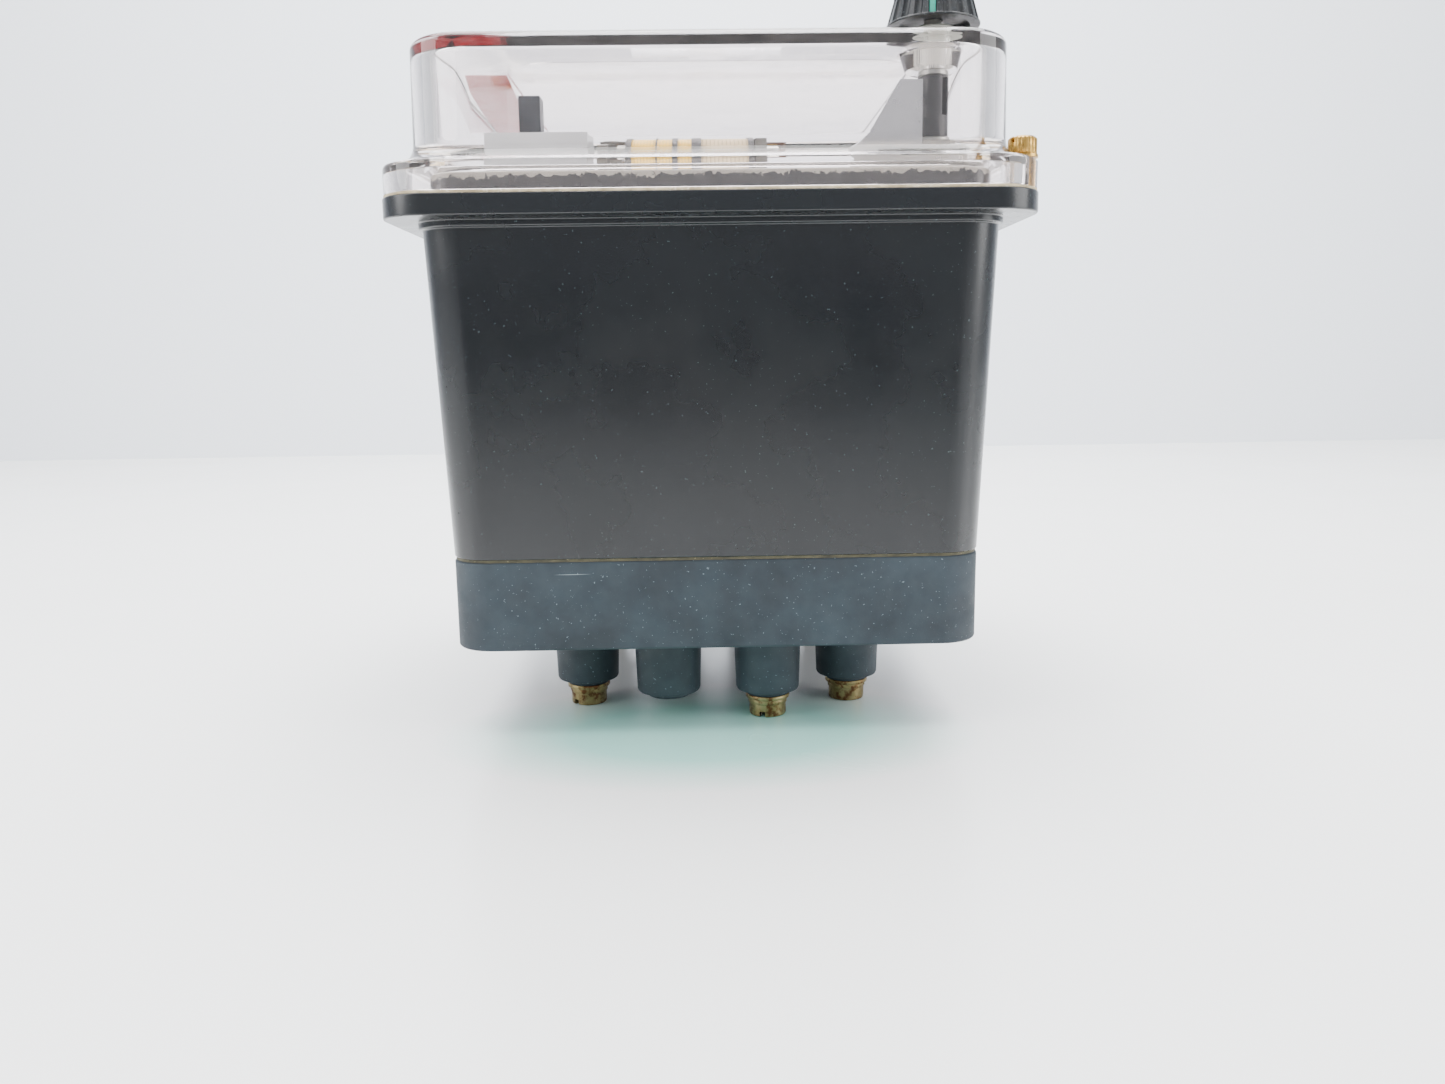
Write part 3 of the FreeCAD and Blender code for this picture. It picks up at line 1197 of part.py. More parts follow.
def make_knob():
    """The fluted setting knob with its shaft, blade, retaining clip, grub screw and index line."""
    x, y = "knob_place", "0 - knob_place"
    foot = cone("knob_foot", "knob_base_dia", "knob_waist_dia", "knob_waist_rise", x, y, "knob_level")
    crown = cone("knob_crown", "knob_waist_dia", "knob_top_dia", "knob_height - knob_waist_rise", x, y,
                 "knob_waist")
    skirt = cylinder("knob_skirt", "knob_skirt_dia", "knob_skirt_height", x, y, "knob_level")
    tools = [cylinder("knob_recess", "knob_recess_dia", "knob_recess_depth", x, y, "knob_level")]
    stages = (("foot", "knob_base_dia", "knob_waist_dia", "knob_waist_rise",
               "knob_level + knob_skirt_height"),
              ("crown", "knob_waist_dia", "knob_top_dia", "(knob_height - knob_waist_rise)", "knob_waist"))
    flutes = int(size("knob_flutes"))
    for stage, low_dia, high_dia, rise, level in stages:
        lean = lean_angle(low_dia, high_dia, rise)
        for index in range(flutes):
            angle = f"(index_angle + {index} * 360 / knob_flutes)"
            reach = f"({low_dia} / 2 + knob_flute_dia / 4)"
            tools.append(cylinder(f"flute_{stage}_{index}", "knob_flute_dia", f"{rise} + flute_overrun",
                                  f"{x} + {reach} * cos({angle})", f"{y} + {reach} * sin({angle})", level,
                                  leaning(size(angle), lean)))
    tools.append(cylinder("knob_bore", "shaft_dia", "knob_grip", x, y, "knob_level"))
    grub_y = f"{y} + shaft_dia / 2"
    grub_level = "knob_level + grub_rise"
    tools.append(cylinder("grub_hole", "grub_dia", "knob_base_dia / 2", x, grub_y, grub_level, ALONG_Y))
    lengths = ("knob_waist_rise", "knob_height - knob_waist_rise - index_end")
    marks = []
    for (stage, low_dia, high_dia, rise, level), length in zip(stages, lengths):
        tilt = leaning(size("index_angle"), lean_angle(low_dia, high_dia, rise))
        inner = f"({low_dia} / 2 - index_sink)"
        index_x = f"{x} + {inner} * cos(index_angle) + index_width / 2 * sin(index_angle)"
        index_y = f"{y} + {inner} * sin(index_angle) - index_width / 2 * cos(index_angle)"
        for name, depth, made in ((f"index_line_{stage}", "index_depth", marks),
                                  (f"index_groove_{stage}", "index_groove", tools)):
            bar = document.addObject("Part::Box", name)
            bind(bar, {"Length": depth, "Width": "index_width", "Height": length})
            place(bar, index_x, index_y, level, tilt)
            made.append(bar)
    node(cut("Knob", fuse("knob_solid", [foot, crown, skirt]), tools), "knob")
    node(fuse("KnobIndex", marks), "knob_index")
    node(cylinder("KnobGrubScrew", "grub_dia", "grub_length", x, grub_y, grub_level, ALONG_Y),
         "knob_grub_screw")
    bar = cylinder("shaft_bar", "shaft_dia", "knob_level + knob_grip - (shaft_end)", x, y, "shaft_end")
    blade = crossing_box("shaft_blade", "blade_width", "blade_thick", "blade_length", x, y,
                         "shaft_end - blade_length", "blade_turn")
    node(fuse("KnobShaft", [bar, blade]), "knob_shaft")
    clip = cylinder("clip_disc", "clip_dia", "clip_height", x, y, "clip_level")
    node(cut("ShaftClip", clip, [cylinder("clip_bore", "shaft_dia", "clip_height", x, y, "clip_level")]),
         "shaft_clip")


def lean_angle(low_dia, high_dia, rise):
    """How far a taper leans inwards, in degrees."""
    return math.degrees(math.atan((size(low_dia) - size(high_dia)) / 2 / size(rise)))


def leaning(turn, lean):
    """The rotation of an upright piece that leans back towards the axis it is turned about."""
    about = FreeCAD.Rotation(FreeCAD.Vector(0, 0, 1), turn)
    return about.multiply(FreeCAD.Rotation(FreeCAD.Vector(0, 1, 0), -lean))


def check_document():
    """Stop the build if any object failed or any sub-part is not one sound shape."""
    for item in document.Objects:
        if "Invalid" in item.State or "Error" in item.State:
            raise RuntimeError(f"{item.Name} did not compute: {item.State}")
    for item in nodes:
        if item.Shape.isNull() or not item.Shape.isValid() or not item.Shape.Solids:
            raise RuntimeError(f"{item.Label} has no sound shape")


def export_nodes():
    """Write one STEP file per sub-part."""
    os.makedirs(PARTS_FOLDER, exist_ok=True)
    for item in nodes:
        item.Shape.exportStep(os.path.join(PARTS_FOLDER, f"{item.Label}.step"))


make_terminals()
make_base()
make_case()
make_chassis()
make_magnet()
make_armature()
make_contact_block()
make_setting_unit()
make_switch()
make_capacitor()
make_cover()
make_knob()
document.recompute()
check_document()
export_nodes()
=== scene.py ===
"""Looks of a flush-mounting control relay: drafted phenolic case, clear acrylic cover, fluted setting knob,
ring of screw terminals and the armature relay inside.

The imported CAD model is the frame. Each class below builds one sub-assembly around it, in metres, and dresses it.
Sizes in the classes are millimetres; places come from the boxes of the CAD nodes.
"""

import logging
import math
from dataclasses import dataclass
from enum import Enum
from typing import Callable, Iterable, Optional, Sequence

import bmesh
import bpy
from mathutils import Matrix, Vector


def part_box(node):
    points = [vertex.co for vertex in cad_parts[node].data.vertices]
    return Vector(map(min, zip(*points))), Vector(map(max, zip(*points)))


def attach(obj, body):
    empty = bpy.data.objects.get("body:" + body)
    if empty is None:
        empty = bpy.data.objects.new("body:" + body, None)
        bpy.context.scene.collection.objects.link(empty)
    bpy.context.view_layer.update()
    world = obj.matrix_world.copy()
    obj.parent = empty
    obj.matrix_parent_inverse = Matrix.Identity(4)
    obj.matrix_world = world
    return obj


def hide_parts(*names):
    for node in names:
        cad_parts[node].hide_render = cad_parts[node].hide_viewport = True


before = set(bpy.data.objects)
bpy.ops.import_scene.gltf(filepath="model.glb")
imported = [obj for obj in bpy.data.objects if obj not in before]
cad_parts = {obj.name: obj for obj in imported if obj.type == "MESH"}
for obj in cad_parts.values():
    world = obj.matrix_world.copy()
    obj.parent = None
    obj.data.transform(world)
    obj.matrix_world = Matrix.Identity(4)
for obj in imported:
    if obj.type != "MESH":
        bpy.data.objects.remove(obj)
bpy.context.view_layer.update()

MM = 0.001
PICTURE_WIDTH = 1445
COVER_SCREW_PLACE = (52.0, -47.6)
LOG = logging.getLogger("control_relay")

Point = tuple[float, float, float]
Ring = tuple[float, float]


class Axis(Enum):
    """The three directions of the frame."""

    X = 0
    Y = 1
    Z = 2


@dataclass(frozen=True)
class Span:
    """The box of a CAD node, in millimetres."""

    low: Vector
    high: Vector

    @property
    def middle(self) -> Vector:
        """The point halfway between the two corners."""
        return (self.low + self.high) / 2

    @property
    def size(self) -> Vector:
        """The three edge lengths."""
        return self.high - self.low


def span_of(node: str) -> Span:
    """Measure a CAD node.

    Args:
        node: the node's name.

    Returns:
        Its box in millimetres.
    """
    low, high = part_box(node)
    return Span(low / MM, high / MM)


# ---------------------------------------------------------------------------------------------------------------
# Modelling helpers. Each wraps the operator that a person would use by hand.


def deselect_all() -> None:
    """Leave edit mode and select nothing."""
    if bpy.context.object and bpy.context.object.mode != "OBJECT":
        bpy.ops.object.mode_set(mode="OBJECT")
    bpy.ops.object.select_all(action="DESELECT")


def activate(piece: bpy.types.Object) -> None:
    """Make one piece the only selected and active object."""
    deselect_all()
    piece.select_set(True)
    bpy.context.view_layer.objects.active = piece


def settle(piece: bpy.types.Object, name: str) -> bpy.types.Object:
    """Name a new primitive and put its place into its mesh."""
    piece.name = name
    piece.data.name = name
    activate(piece)
    bpy.ops.object.transform_apply(location=True, rotation=True, scale=True)
    return piece


def pick(piece: bpy.types.Object, kind: str, test: Callable[[object], bool]) -> int:
    """Select faces, edges or vertices by a test, in edit mode.

    Args:
        piece: the object, which is put in edit mode.
        kind: "faces", "edges" or "verts".
        test: says of one element whether it is wanted.

    Returns:
        How many were selected.
    """
    activate(piece)
    bpy.ops.object.mode_set(mode="EDIT")
    mode = {"faces": "FACE", "edges": "EDGE", "verts": "VERT"}[kind]
    bpy.ops.mesh.select_mode(type=mode)
    bpy.ops.mesh.select_all(action="DESELECT")
    mesh = bmesh.from_edit_mesh(piece.data)
    found = [element for element in getattr(mesh, kind) if test(element)]
    for element in found:
        element.select_set(True)
    mesh.select_flush_mode()
    bmesh.update_edit_mesh(piece.data)
    return len(found)


def start_square(name: str, width: float, corner: float, level: float, steps: int = 10) -> bpy.types.Object:
    """Start a piece as a flat square with round corners, about the middle of the relay.

    Args:
        name: the piece's name.
        width: side of the square, mm.
        corner: corner radius, mm.
        level: height above the standing plane, mm.
        steps: segments in each corner.

    Returns:
        The new object.
    """
    deselect_all()
    bpy.ops.mesh.primitive_plane_add(size=width * MM, location=(0, 0, level * MM))
    piece = settle(bpy.context.object, name)
    bpy.ops.object.mode_set(mode="EDIT")
    bpy.ops.mesh.select_all(action="SELECT")
    bpy.ops.mesh.bevel(offset=corner * MM, segments=steps, profile=0.5, affect="VERTICES")
    bpy.ops.object.mode_set(mode="OBJECT")
    return piece


def start_disc(name: str, radius: float, centre: Point, steps: int = 48) -> bpy.types.Object:
    """Start a piece as a flat disc facing up.

    Args:
        name: the piece's name.
        radius: radius of the disc, mm.
        centre: its centre, mm.
        steps: corners of the disc.

    Returns:
        The new object.
    """
    deselect_all()
    place = tuple(value * MM for value in centre)
    bpy.ops.mesh.primitive_circle_add(vertices=steps, radius=radius * MM, fill_type="NGON", location=place)
    return settle(bpy.context.object, name)


def grow(piece: bpy.types.Object, rings: Sequence[Ring],
         centre: tuple[float, float] = (0, 0)) -> bpy.types.Object:
    """Extrude a flat start upwards or downwards through a row of rings.

    Args:
        piece: a flat face, as a start gives it.
        rings: (width or radius, level) of each ring in mm, the first being the start itself.
        centre: X and Y of the axis, mm.

    Returns:
        The same object, closed by its last face.
    """
    activate(piece)
    bpy.ops.object.mode_set(mode="EDIT")
    bpy.ops.mesh.select_mode(type="FACE")
    bpy.ops.mesh.select_all(action="SELECT")
    for (last_width, last_level), (width, level) in zip(rings, rings[1:]):
        rise = (0, 0, (level - last_level) * MM)
        bpy.ops.mesh.extrude_region_move(TRANSFORM_OT_translate={"value": rise})
        factor = width / last_width
        middle = (centre[0] * MM, centre[1] * MM, level * MM)
        bpy.ops.transform.resize(value=(factor, factor, 1), center_override=middle)
    bpy.ops.object.mode_set(mode="OBJECT")
    return piece


def open_ends(piece: bpy.types.Object) -> bpy.types.Object:
    """Turn a piece that grew out, up and back down inside into a tube, by joining its two end faces' edges."""
    pick(piece, "faces", lambda face: len(face.verts) > 4)
    bpy.ops.mesh.delete(type="FACE")
    bpy.ops.object.mode_set(mode="OBJECT")
    pick(piece, "edges", lambda edge: edge.is_boundary)
    bpy.ops.mesh.bridge_edge_loops()
    bpy.ops.object.mode_set(mode="OBJECT")
    return piece


def face_outwards(piece: bpy.types.Object) -> bpy.types.Object:
    """Merge doubles and turn every face outwards."""
    pick(piece, "verts", lambda vertex: True)
    bpy.ops.mesh.remove_doubles(threshold=0.00001)
    bpy.ops.mesh.select_all(action="SELECT")
    bpy.ops.mesh.normals_make_consistent(inside=False)
    bpy.ops.object.mode_set(mode="OBJECT")
    return piece


def apply_modifier(piece: bpy.types.Object, kind: str, **settings: object) -> bpy.types.Object:
    """Add one modifier to a piece and apply it.

    Args:
        piece: the object.
        kind: the modifier's type.
        settings: its properties.

    Returns:
        The same object.
    """
    activate(piece)
    modifier = piece.modifiers.new(kind.lower(), kind)
    for key, value in settings.items():
        setattr(modifier, key, value)
    bpy.ops.object.modifier_apply(modifier=modifier.name)
    return piece


def soften(piece: bpy.types.Object, width: float, segments: int = 3, angle: float = 28) -> bpy.types.Object:
    """Round a piece's sharp edges.

    Args:
        piece: the object.
        width: width of the rounding, mm.
        segments: steps across it.
        angle: edges sharper than this many degrees are rounded.

    Returns:
        The same object.
    """
    return apply_modifier(piece, "BEVEL", width=width * MM, segments=segments, limit_method="ANGLE",
                          angle_limit=math.radians(angle), use_clamp_overlap=True, harden_normals=False,
                          miter_outer="MITER_ARC")


def shade(piece: bpy.types.Object, angle: float = 35) -> bpy.types.Object:
    """Smooth the shading except across sharp edges, with flat faces kept flat."""
    activate(piece)
    bpy.ops.object.shade_smooth_by_angle(angle=math.radians(angle))
    return apply_modifier(piece, "WEIGHTED_NORMAL", keep_sharp=True)


def join(name: str, pieces: Sequence[bpy.types.Object]) -> bpy.types.Object:
    """Join several objects into one mesh."""
    activate(pieces[0])
    for piece in pieces[1:]:
        piece.select_set(True)
    if len(pieces) > 1:
        bpy.ops.object.join()
    joined = bpy.context.view_layer.objects.active
    joined.name = name
    joined.data.name = name
    return joined


def combine(piece: bpy.types.Object, tool: bpy.types.Object, operation: str) -> bpy.types.Object:
    """Cut a tool from a piece, or unite them, and throw the tool away.

    Args:
        piece: the object that stays.
        tool: the object that is used up.
        operation: "DIFFERENCE", "UNION" or "INTERSECT".

    Returns:
        The piece.
    """
    apply_modifier(piece, "BOOLEAN", object=tool, operation=operation, solver="EXACT")
    bpy.data.objects.remove(tool, do_unlink=True)
    return piece


def copy_to(piece: bpy.types.Object, name: str, shift: Vector, turn: float = 0.0) -> bpy.types.Object:
    """Copy a piece with its own mesh, turned about the vertical through the origin and then moved.

    Args:
        piece: the object to copy, modelled about the origin.
        name: the copy's name.
        shift: the move, mm.
        turn: the turn, degrees.

    Returns:
        The copy, with its place in its mesh.
    """
    copy = piece.copy()
    copy.data = piece.data.copy()
    bpy.context.scene.collection.objects.link(copy)
    copy.data.transform(Matrix.Translation(shift * MM) @ Matrix.Rotation(math.radians(turn), 4, "Z"))
    copy.name = name
    return copy


def turned(name: str, rings: Sequence[Ring], centre: tuple[float, float] = (0, 0),
           steps: int = 48) -> bpy.types.Object:
    """Make a solid of round rings about a vertical axis.

    Args:
        name: the piece's name.
        rings: (radius, level) of each ring, mm.
        centre: X and Y of the axis, mm.
        steps: corners of each ring.

    Returns:
        The closed solid.
    """
    radius, level = rings[0]
    piece = start_disc(name, radius, (centre[0], centre[1], level), steps)
    return face_outwards(grow(piece, rings, centre))


def block(name: str, low: Sequence[float], high: Sequence[float], edge: float = 0.2) -> bpy.types.Object:
    """Make a rectangular block with rounded edges.

    Args:
        name: the piece's name.
        low: its lowest corner, mm.
        high: its highest corner, mm.
        edge: width of the edge rounding, mm.

    Returns:
        The block.
    """
    deselect_all()
    middle = tuple((a + b) / 2 * MM for a, b in zip(low, high))
    bpy.ops.mesh.primitive_cube_add(size=MM, location=middle)
    bpy.context.object.scale = tuple(b - a for a, b in zip(low, high))
    piece = settle(bpy.context.object, name)
    if edge:
        soften(piece, edge, 2)
    return piece


# ---------------------------------------------------------------------------------------------------------------
# Finishes. Each is named for what the real part is made of.


def linear(code: str) -> tuple[float, float, float, float]:
    """Turn an sRGB hex colour into the linear colour that a shader takes."""
    values = [int(code[index:index + 2], 16) / 255 for index in (1, 3, 5)]
    values = [value / 12.92 if value <= 0.04045 else ((value + 0.055) / 1.055) ** 2.4 for value in values]
    return values[0], values[1], values[2], 1.0


def add_node(tree: bpy.types.NodeTree, kind: str, feeds: Optional[dict] = None,
             **settings: object) -> bpy.types.Node:
    """Add a node with its settings, and set or link its inputs.

    Args:
        tree: the node tree.
        kind: the node's type.
        feeds: for each input, by name or index, a value or the socket that feeds it.
        settings: the node's own properties.

    Returns:
        The new node.
    """
    node = tree.nodes.new(kind)
    for key, value in settings.items():
        setattr(node, key, value)
    for key, value in (feeds or {}).items():
        if isinstance(value, bpy.types.NodeSocket):
            tree.links.new(value, node.inputs[key])
        else:
            node.inputs[key].default_value = value
    return node


def per_metre(size_mm: float) -> float:
    """Give a texture scale whose features are about so many millimetres across."""
    return 1 / (size_mm * MM)


def add_noise(tree: bpy.types.NodeTree, place: bpy.types.NodeSocket, size_mm: float, detail: float,
          roughness: float = 0.5) -> bpy.types.NodeSocket:
    """Add a noise whose features are about so many millimetres across.

    Args:
        tree: the node tree.
        place: the coordinates' socket.
        size_mm: size of the features, mm.
        detail: how many finer layers it has.
        roughness: how strong the finer layers are.

    Returns:
        The socket of the noise's value.
    """
    return add_node(tree, "ShaderNodeTexNoise", {
        "Vector": place, "Scale": per_metre(size_mm), "Detail": detail,
        "Roughness": roughness}).outputs["Fac"]


def add_ramp(tree: bpy.types.NodeTree, value: bpy.types.NodeSocket, given: Ring,
             wanted: Ring) -> bpy.types.NodeSocket:
    """Map one range of values onto another, held at both ends.

    Args:
        tree: the node tree.
        value: the socket to map.
        given: the range that comes in.
        wanted: the range that goes out.

    Returns:
        The mapped value's socket.
    """
    return add_node(tree, "ShaderNodeMapRange", {
        "Value": value, "From Min": given[0], "From Max": given[1], "To Min": wanted[0],
        "To Max": wanted[1]}).outputs["Result"]


@dataclass(frozen=True)
class Finish:
    """An opaque surface: a base colour with slow mottling, fine specks, scratches, grain and uneven gloss."""

    name: str
    colour: str
    mottle: str
    mottle_mm: float = 20.0
    mottle_share: float = 0.5
    metallic: float = 0.0
    gloss: tuple[float, float] = (0.3, 0.45)
    gloss_mm: float = 6.0
    grain_mm: float = 0.3
    grain_depth_mm: float = 0.01
    speck: Optional[str] = None
    speck_mm: float = 0.8
    speck_share: float = 0.06
    scratch: Optional[str] = None
    scratch_share: float = 0.03
    scratch_scale: float = 28.0
    rust: Optional[str] = None
    rust_mm: float = 1.6
    rust_share: float = 0.4
    brushed: Optional[Axis] = None
    wound: Optional[Axis] = None
    wound_mm: float = 0.5
    dust: Optional[str] = None
    dust_levels: tuple[float, float] = (0.0, 0.0)
    coat: float = 0.0

    def build(self) -> bpy.types.Material:
        """Make the material.

        Returns:
            The new material.
        """
        material = bpy.data.materials.new(self.name)
        material.use_nodes = True
        tree = material.node_tree
        tree.nodes.clear()
        place = add_node(tree, "ShaderNodeTexCoord").outputs["Object"]
        colour = self.mottled(tree, place)
        colour = self.specked(tree, place, colour)
        colour = self.rusted(tree, place, colour)
        colour = self.scratched(tree, place, colour)
        colour = self.banded(tree, place, colour)
        colour = self.dusted(tree, place, colour)
        rough = add_noise(tree, place, self.gloss_mm, 4.0, 0.6)
        spread = add_ramp(tree, rough, (0.3, 0.7), (self.gloss[0], self.gloss[1]))
        shader = add_node(tree, "ShaderNodeBsdfPrincipled", {
            "Base Color": colour, "Metallic": self.metallic, "Roughness": spread,
            "Coat Weight": self.coat, "Coat Roughness": 0.12, "Normal": self.grained(tree, place)})
        add_node(tree, "ShaderNodeOutputMaterial", {"Surface": shader.outputs["BSDF"]})
        return material

    def mottled(self, tree: bpy.types.NodeTree, place: bpy.types.NodeSocket) -> bpy.types.NodeSocket:
        """Blend the base colour into the mottle colour in slow clouds."""
        cloud = add_noise(tree, place, self.mottle_mm, 5.0, 0.55)
        ramp = add_ramp(tree, cloud, (0.35, 0.7), (0.0, self.mottle_share))
        return self.blend(tree, ramp, linear(self.colour), linear(self.mottle))

    @staticmethod
    def blend(tree: bpy.types.NodeTree, share: object, first: object, second: object) -> bpy.types.NodeSocket:
        """Mix two colours by a share.

        Args:
            tree: the node tree.
            share: how much of the second, a number or a socket.
            first: a colour or a socket.
            second: a colour or a socket.

        Returns:
            The mixed colour's socket.
        """
        mix = add_node(tree, "ShaderNodeMix", {0: share, 6: first, 7: second}, data_type="RGBA")
        return mix.outputs[2]

    def specked(self, tree: bpy.types.NodeTree, place: bpy.types.NodeSocket,
                colour: bpy.types.NodeSocket) -> bpy.types.NodeSocket:
        """Scatter fine specks of dust or filler."""
        if not self.speck:
            return colour
        noise = add_noise(tree, place, self.speck_mm, 2.0, 0.7)
        spots = add_ramp(tree, noise, (0.66 - self.speck_share, 0.72), (0.0, 0.8))
        return self.blend(tree, spots, colour, linear(self.speck))

    def rusted(self, tree: bpy.types.NodeTree, place: bpy.types.NodeSocket,
               colour: bpy.types.NodeSocket) -> bpy.types.NodeSocket:
        """Lay patches of rust or tarnish over the surface."""
        if not self.rust:
            return colour
        noise = add_noise(tree, place, self.rust_mm, 6.0, 0.65)
        low = 0.62 - 0.3 * self.rust_share
        patch = add_ramp(tree, noise, (low, low + 0.12), (0.0, 0.9))
        return self.blend(tree, patch, colour, linear(self.rust))

    def scratched(self, tree: bpy.types.NodeTree, place: bpy.types.NodeSocket,
                  colour: bpy.types.NodeSocket) -> bpy.types.NodeSocket:
        """Draw a few fine pale scratches, in two slanting directions."""
        if not self.scratch:
            return colour
        for turn, stretch in ((0.6, 45.0), (-0.9, 60.0)):
            turned_place = add_node(tree, "ShaderNodeMapping",
                                    {"Vector": place, "Rotation": (turn, turn, turn),
                                                                "Scale": (1.0, 1.0, stretch)})
            noise = add_node(tree, "ShaderNodeTexNoise", {"Vector": turned_place.outputs["Vector"],
                                                          "Scale": self.scratch_scale, "Detail": 1.0,
                                                          "Roughness": 0.4}).outputs["Fac"]
            line = add_ramp(tree, noise, (0.80 - self.scratch_share, 0.84), (0.0, 0.6))
            colour = self.blend(tree, line, colour, linear(self.scratch))
        return colour

    def banded(self, tree: bpy.types.NodeTree, place: bpy.types.NodeSocket,
               colour: bpy.types.NodeSocket) -> bpy.types.NodeSocket:
        """Darken the seams between the turns of a winding."""
        if not self.wound:
            return colour
        wave = add_node(tree, "ShaderNodeTexWave", {"Vector": place, "Scale": per_metre(self.wound_mm * 3.2),
                                                    "Distortion": 0.6, "Detail": 1.0},
                        bands_direction=self.wound.name)
        seam = add_ramp(tree, wave.outputs["Fac"], (0.0, 0.35), (0.75, 0.0))
        return self.blend(tree, seam, colour, linear(self.mottle))

    def dusted(self, tree: bpy.types.NodeTree, place: bpy.types.NodeSocket,
               colour: bpy.types.NodeSocket) -> bpy.types.NodeSocket:
        """Settle a ragged line of dust between two levels."""
        if not self.dust:
            return colour
        low, high = self.dust_levels
        level = add_node(tree, "ShaderNodeSeparateXYZ", {"Vector": place}).outputs["Z"]
        ragged = add_noise(tree, place, 1.6, 4.0, 0.7)
        edge = add_ramp(tree, ragged, (0.3, 0.7), ((low - 0.8) * MM, (high - 0.1) * MM))
        over = add_node(tree, "ShaderNodeMath", {0: level, 1: edge}, operation="GREATER_THAN")
        under = add_node(tree, "ShaderNodeMath", {0: level, 1: high * MM}, operation="LESS_THAN")
        share = add_node(tree, "ShaderNodeMath", {0: over.outputs["Value"], 1: under.outputs["Value"]},
                         operation="MULTIPLY")
        thin = add_node(tree, "ShaderNodeMath", {0: share.outputs["Value"], 1: 0.8}, operation="MULTIPLY")
        return self.blend(tree, thin.outputs["Value"], colour, linear(self.dust))

    def grained(self, tree: bpy.types.NodeTree, place: bpy.types.NodeSocket) -> bpy.types.NodeSocket:
        """Raise a fine grain, drawn out along one axis on a brushed metal."""
        if self.brushed:
            stretch = [1.0, 1.0, 1.0]
            stretch[self.brushed.value] = 0.04
            place = add_node(tree, "ShaderNodeMapping",
                             {"Vector": place, "Scale": tuple(stretch)}).outputs["Vector"]
        grain = add_noise(tree, place, self.grain_mm, 3.0, 0.6)
        bump = add_node(tree, "ShaderNodeBump", {"Height": grain, "Strength": 1.0,
                                                 "Distance": self.grain_depth_mm * MM})
        return bump.outputs["Normal"]


@dataclass(frozen=True)
class ClearFinish:
    """A clear plastic that lets the studio lamps through, with scuffs and a faint tint."""

    name: str
    tint: str
    ior: float = 1.49
    scuff_mm: float = 3.0
    haze: float = 0.02
    shade: float = 0.94
    bloom: str = "#f3e8e6"
    bloom_share: tuple[float, float] = (0.0, 0.012)
    milky_levels: tuple[float, float] = (98.6, 100.2)
    milky_share: float = 0.02

    def build(self) -> bpy.types.Material:
        """Make the material.

        Returns:
            The new material.
        """
        material = bpy.data.materials.new(self.name)
        material.use_nodes = True
        tree = material.node_tree
        tree.nodes.clear()
        place = add_node(tree, "ShaderNodeTexCoord").outputs["Object"]
        scuffs = add_noise(tree, place, self.scuff_mm, 6.0, 0.7)
        rough = add_ramp(tree, scuffs, (0.5, 0.8), (self.haze, 0.22))
        wave = add_noise(tree, place, 14.0, 1.0)
        bump = add_node(tree, "ShaderNodeBump", {"Height": wave, "Strength": 0.6,
                                                 "Distance": 0.05 * MM})
        shader = add_node(tree, "ShaderNodeBsdfPrincipled", {
            "Base Color": linear(self.tint), "Roughness": rough, "IOR": self.ior,
            "Transmission Weight": 1.0, "Normal": bump.outputs["Normal"]})
        chalk = add_node(tree, "ShaderNodeBsdfDiffuse", {"Color": linear(self.bloom)})
        level = add_node(tree, "ShaderNodeSeparateXYZ", {"Vector": place}).outputs["Z"]
        milk = add_ramp(tree, level, (self.milky_levels[0] * MM, self.milky_levels[1] * MM),
                    (self.milky_share, 0.0))
        bloom = add_ramp(tree, scuffs, (0.35, 0.75), (self.bloom_share[0], self.bloom_share[1]))
        share = add_node(tree, "ShaderNodeMath", {0: milk, 1: bloom},
                         operation="ADD")
        body = add_node(tree, "ShaderNodeMixShader", {0: share.outputs["Value"], 1: shader.outputs["BSDF"],
                                                      2: chalk.outputs["BSDF"]})
        clear = add_node(tree, "ShaderNodeBsdfTransparent",
                         {"Color": (self.shade, self.shade, self.shade, 1.0)})
        ray = add_node(tree, "ShaderNodeLightPath")
        mix = add_node(tree, "ShaderNodeMixShader",
                       {0: ray.outputs["Is Shadow Ray"], 1: body.outputs["Shader"],
                                                     2: clear.outputs["BSDF"]})
        add_node(tree, "ShaderNodeOutputMaterial", {"Surface": mix.outputs["Shader"]})
        return material


# Compression-moulded phenolic: blue-black, with a glossy resin skin, soft clouds and a line of dust on the collar.
CASE_PHENOLIC = Finish("moulded_phenolic_gloss", "#060c11", "#0f1013", mottle_mm=34, mottle_share=0.6,
                       gloss=(0.22, 0.32), gloss_mm=18, grain_mm=0.5, grain_depth_mm=0.003, speck="#4c5a5c",
                       speck_mm=0.5, speck_share=-0.045, dust="#a5a196", dust_levels=(97.6, 98.2), coat=0.1)
# The terminal base is the same resin with a duller, pitted skin that has gone blue-grey.
BASE_PHENOLIC = Finish("moulded_phenolic_matt", "#1c262d", "#33414a", mottle_mm=12, mottle_share=0.6,
                       gloss=(0.55, 0.72), gloss_mm=4, grain_mm=0.35, grain_depth_mm=0.02, speck="#6f8088",
                       speck_mm=0.5, speck_share=-0.03, scratch="#9fb0b4", scratch_share=-0.02)
# Cast acrylic: very clear, with a faint pink tint and a skin of fine scuffs.
COVER_ACRYLIC = ClearFinish("clear_acrylic", "#fbf6f6")
# Cork-and-rubber sheet, cut to a ring and gone cream with age.
SEAL_CORK = Finish("aged_cork_rubber", "#cbbb99", "#8a7a5c", mottle_mm=2, mottle_share=0.9, gloss=(0.7, 0.9),
                   grain_mm=0.4, grain_depth_mm=0.06, speck="#efe6d0", speck_mm=0.5, speck_share=0.08)
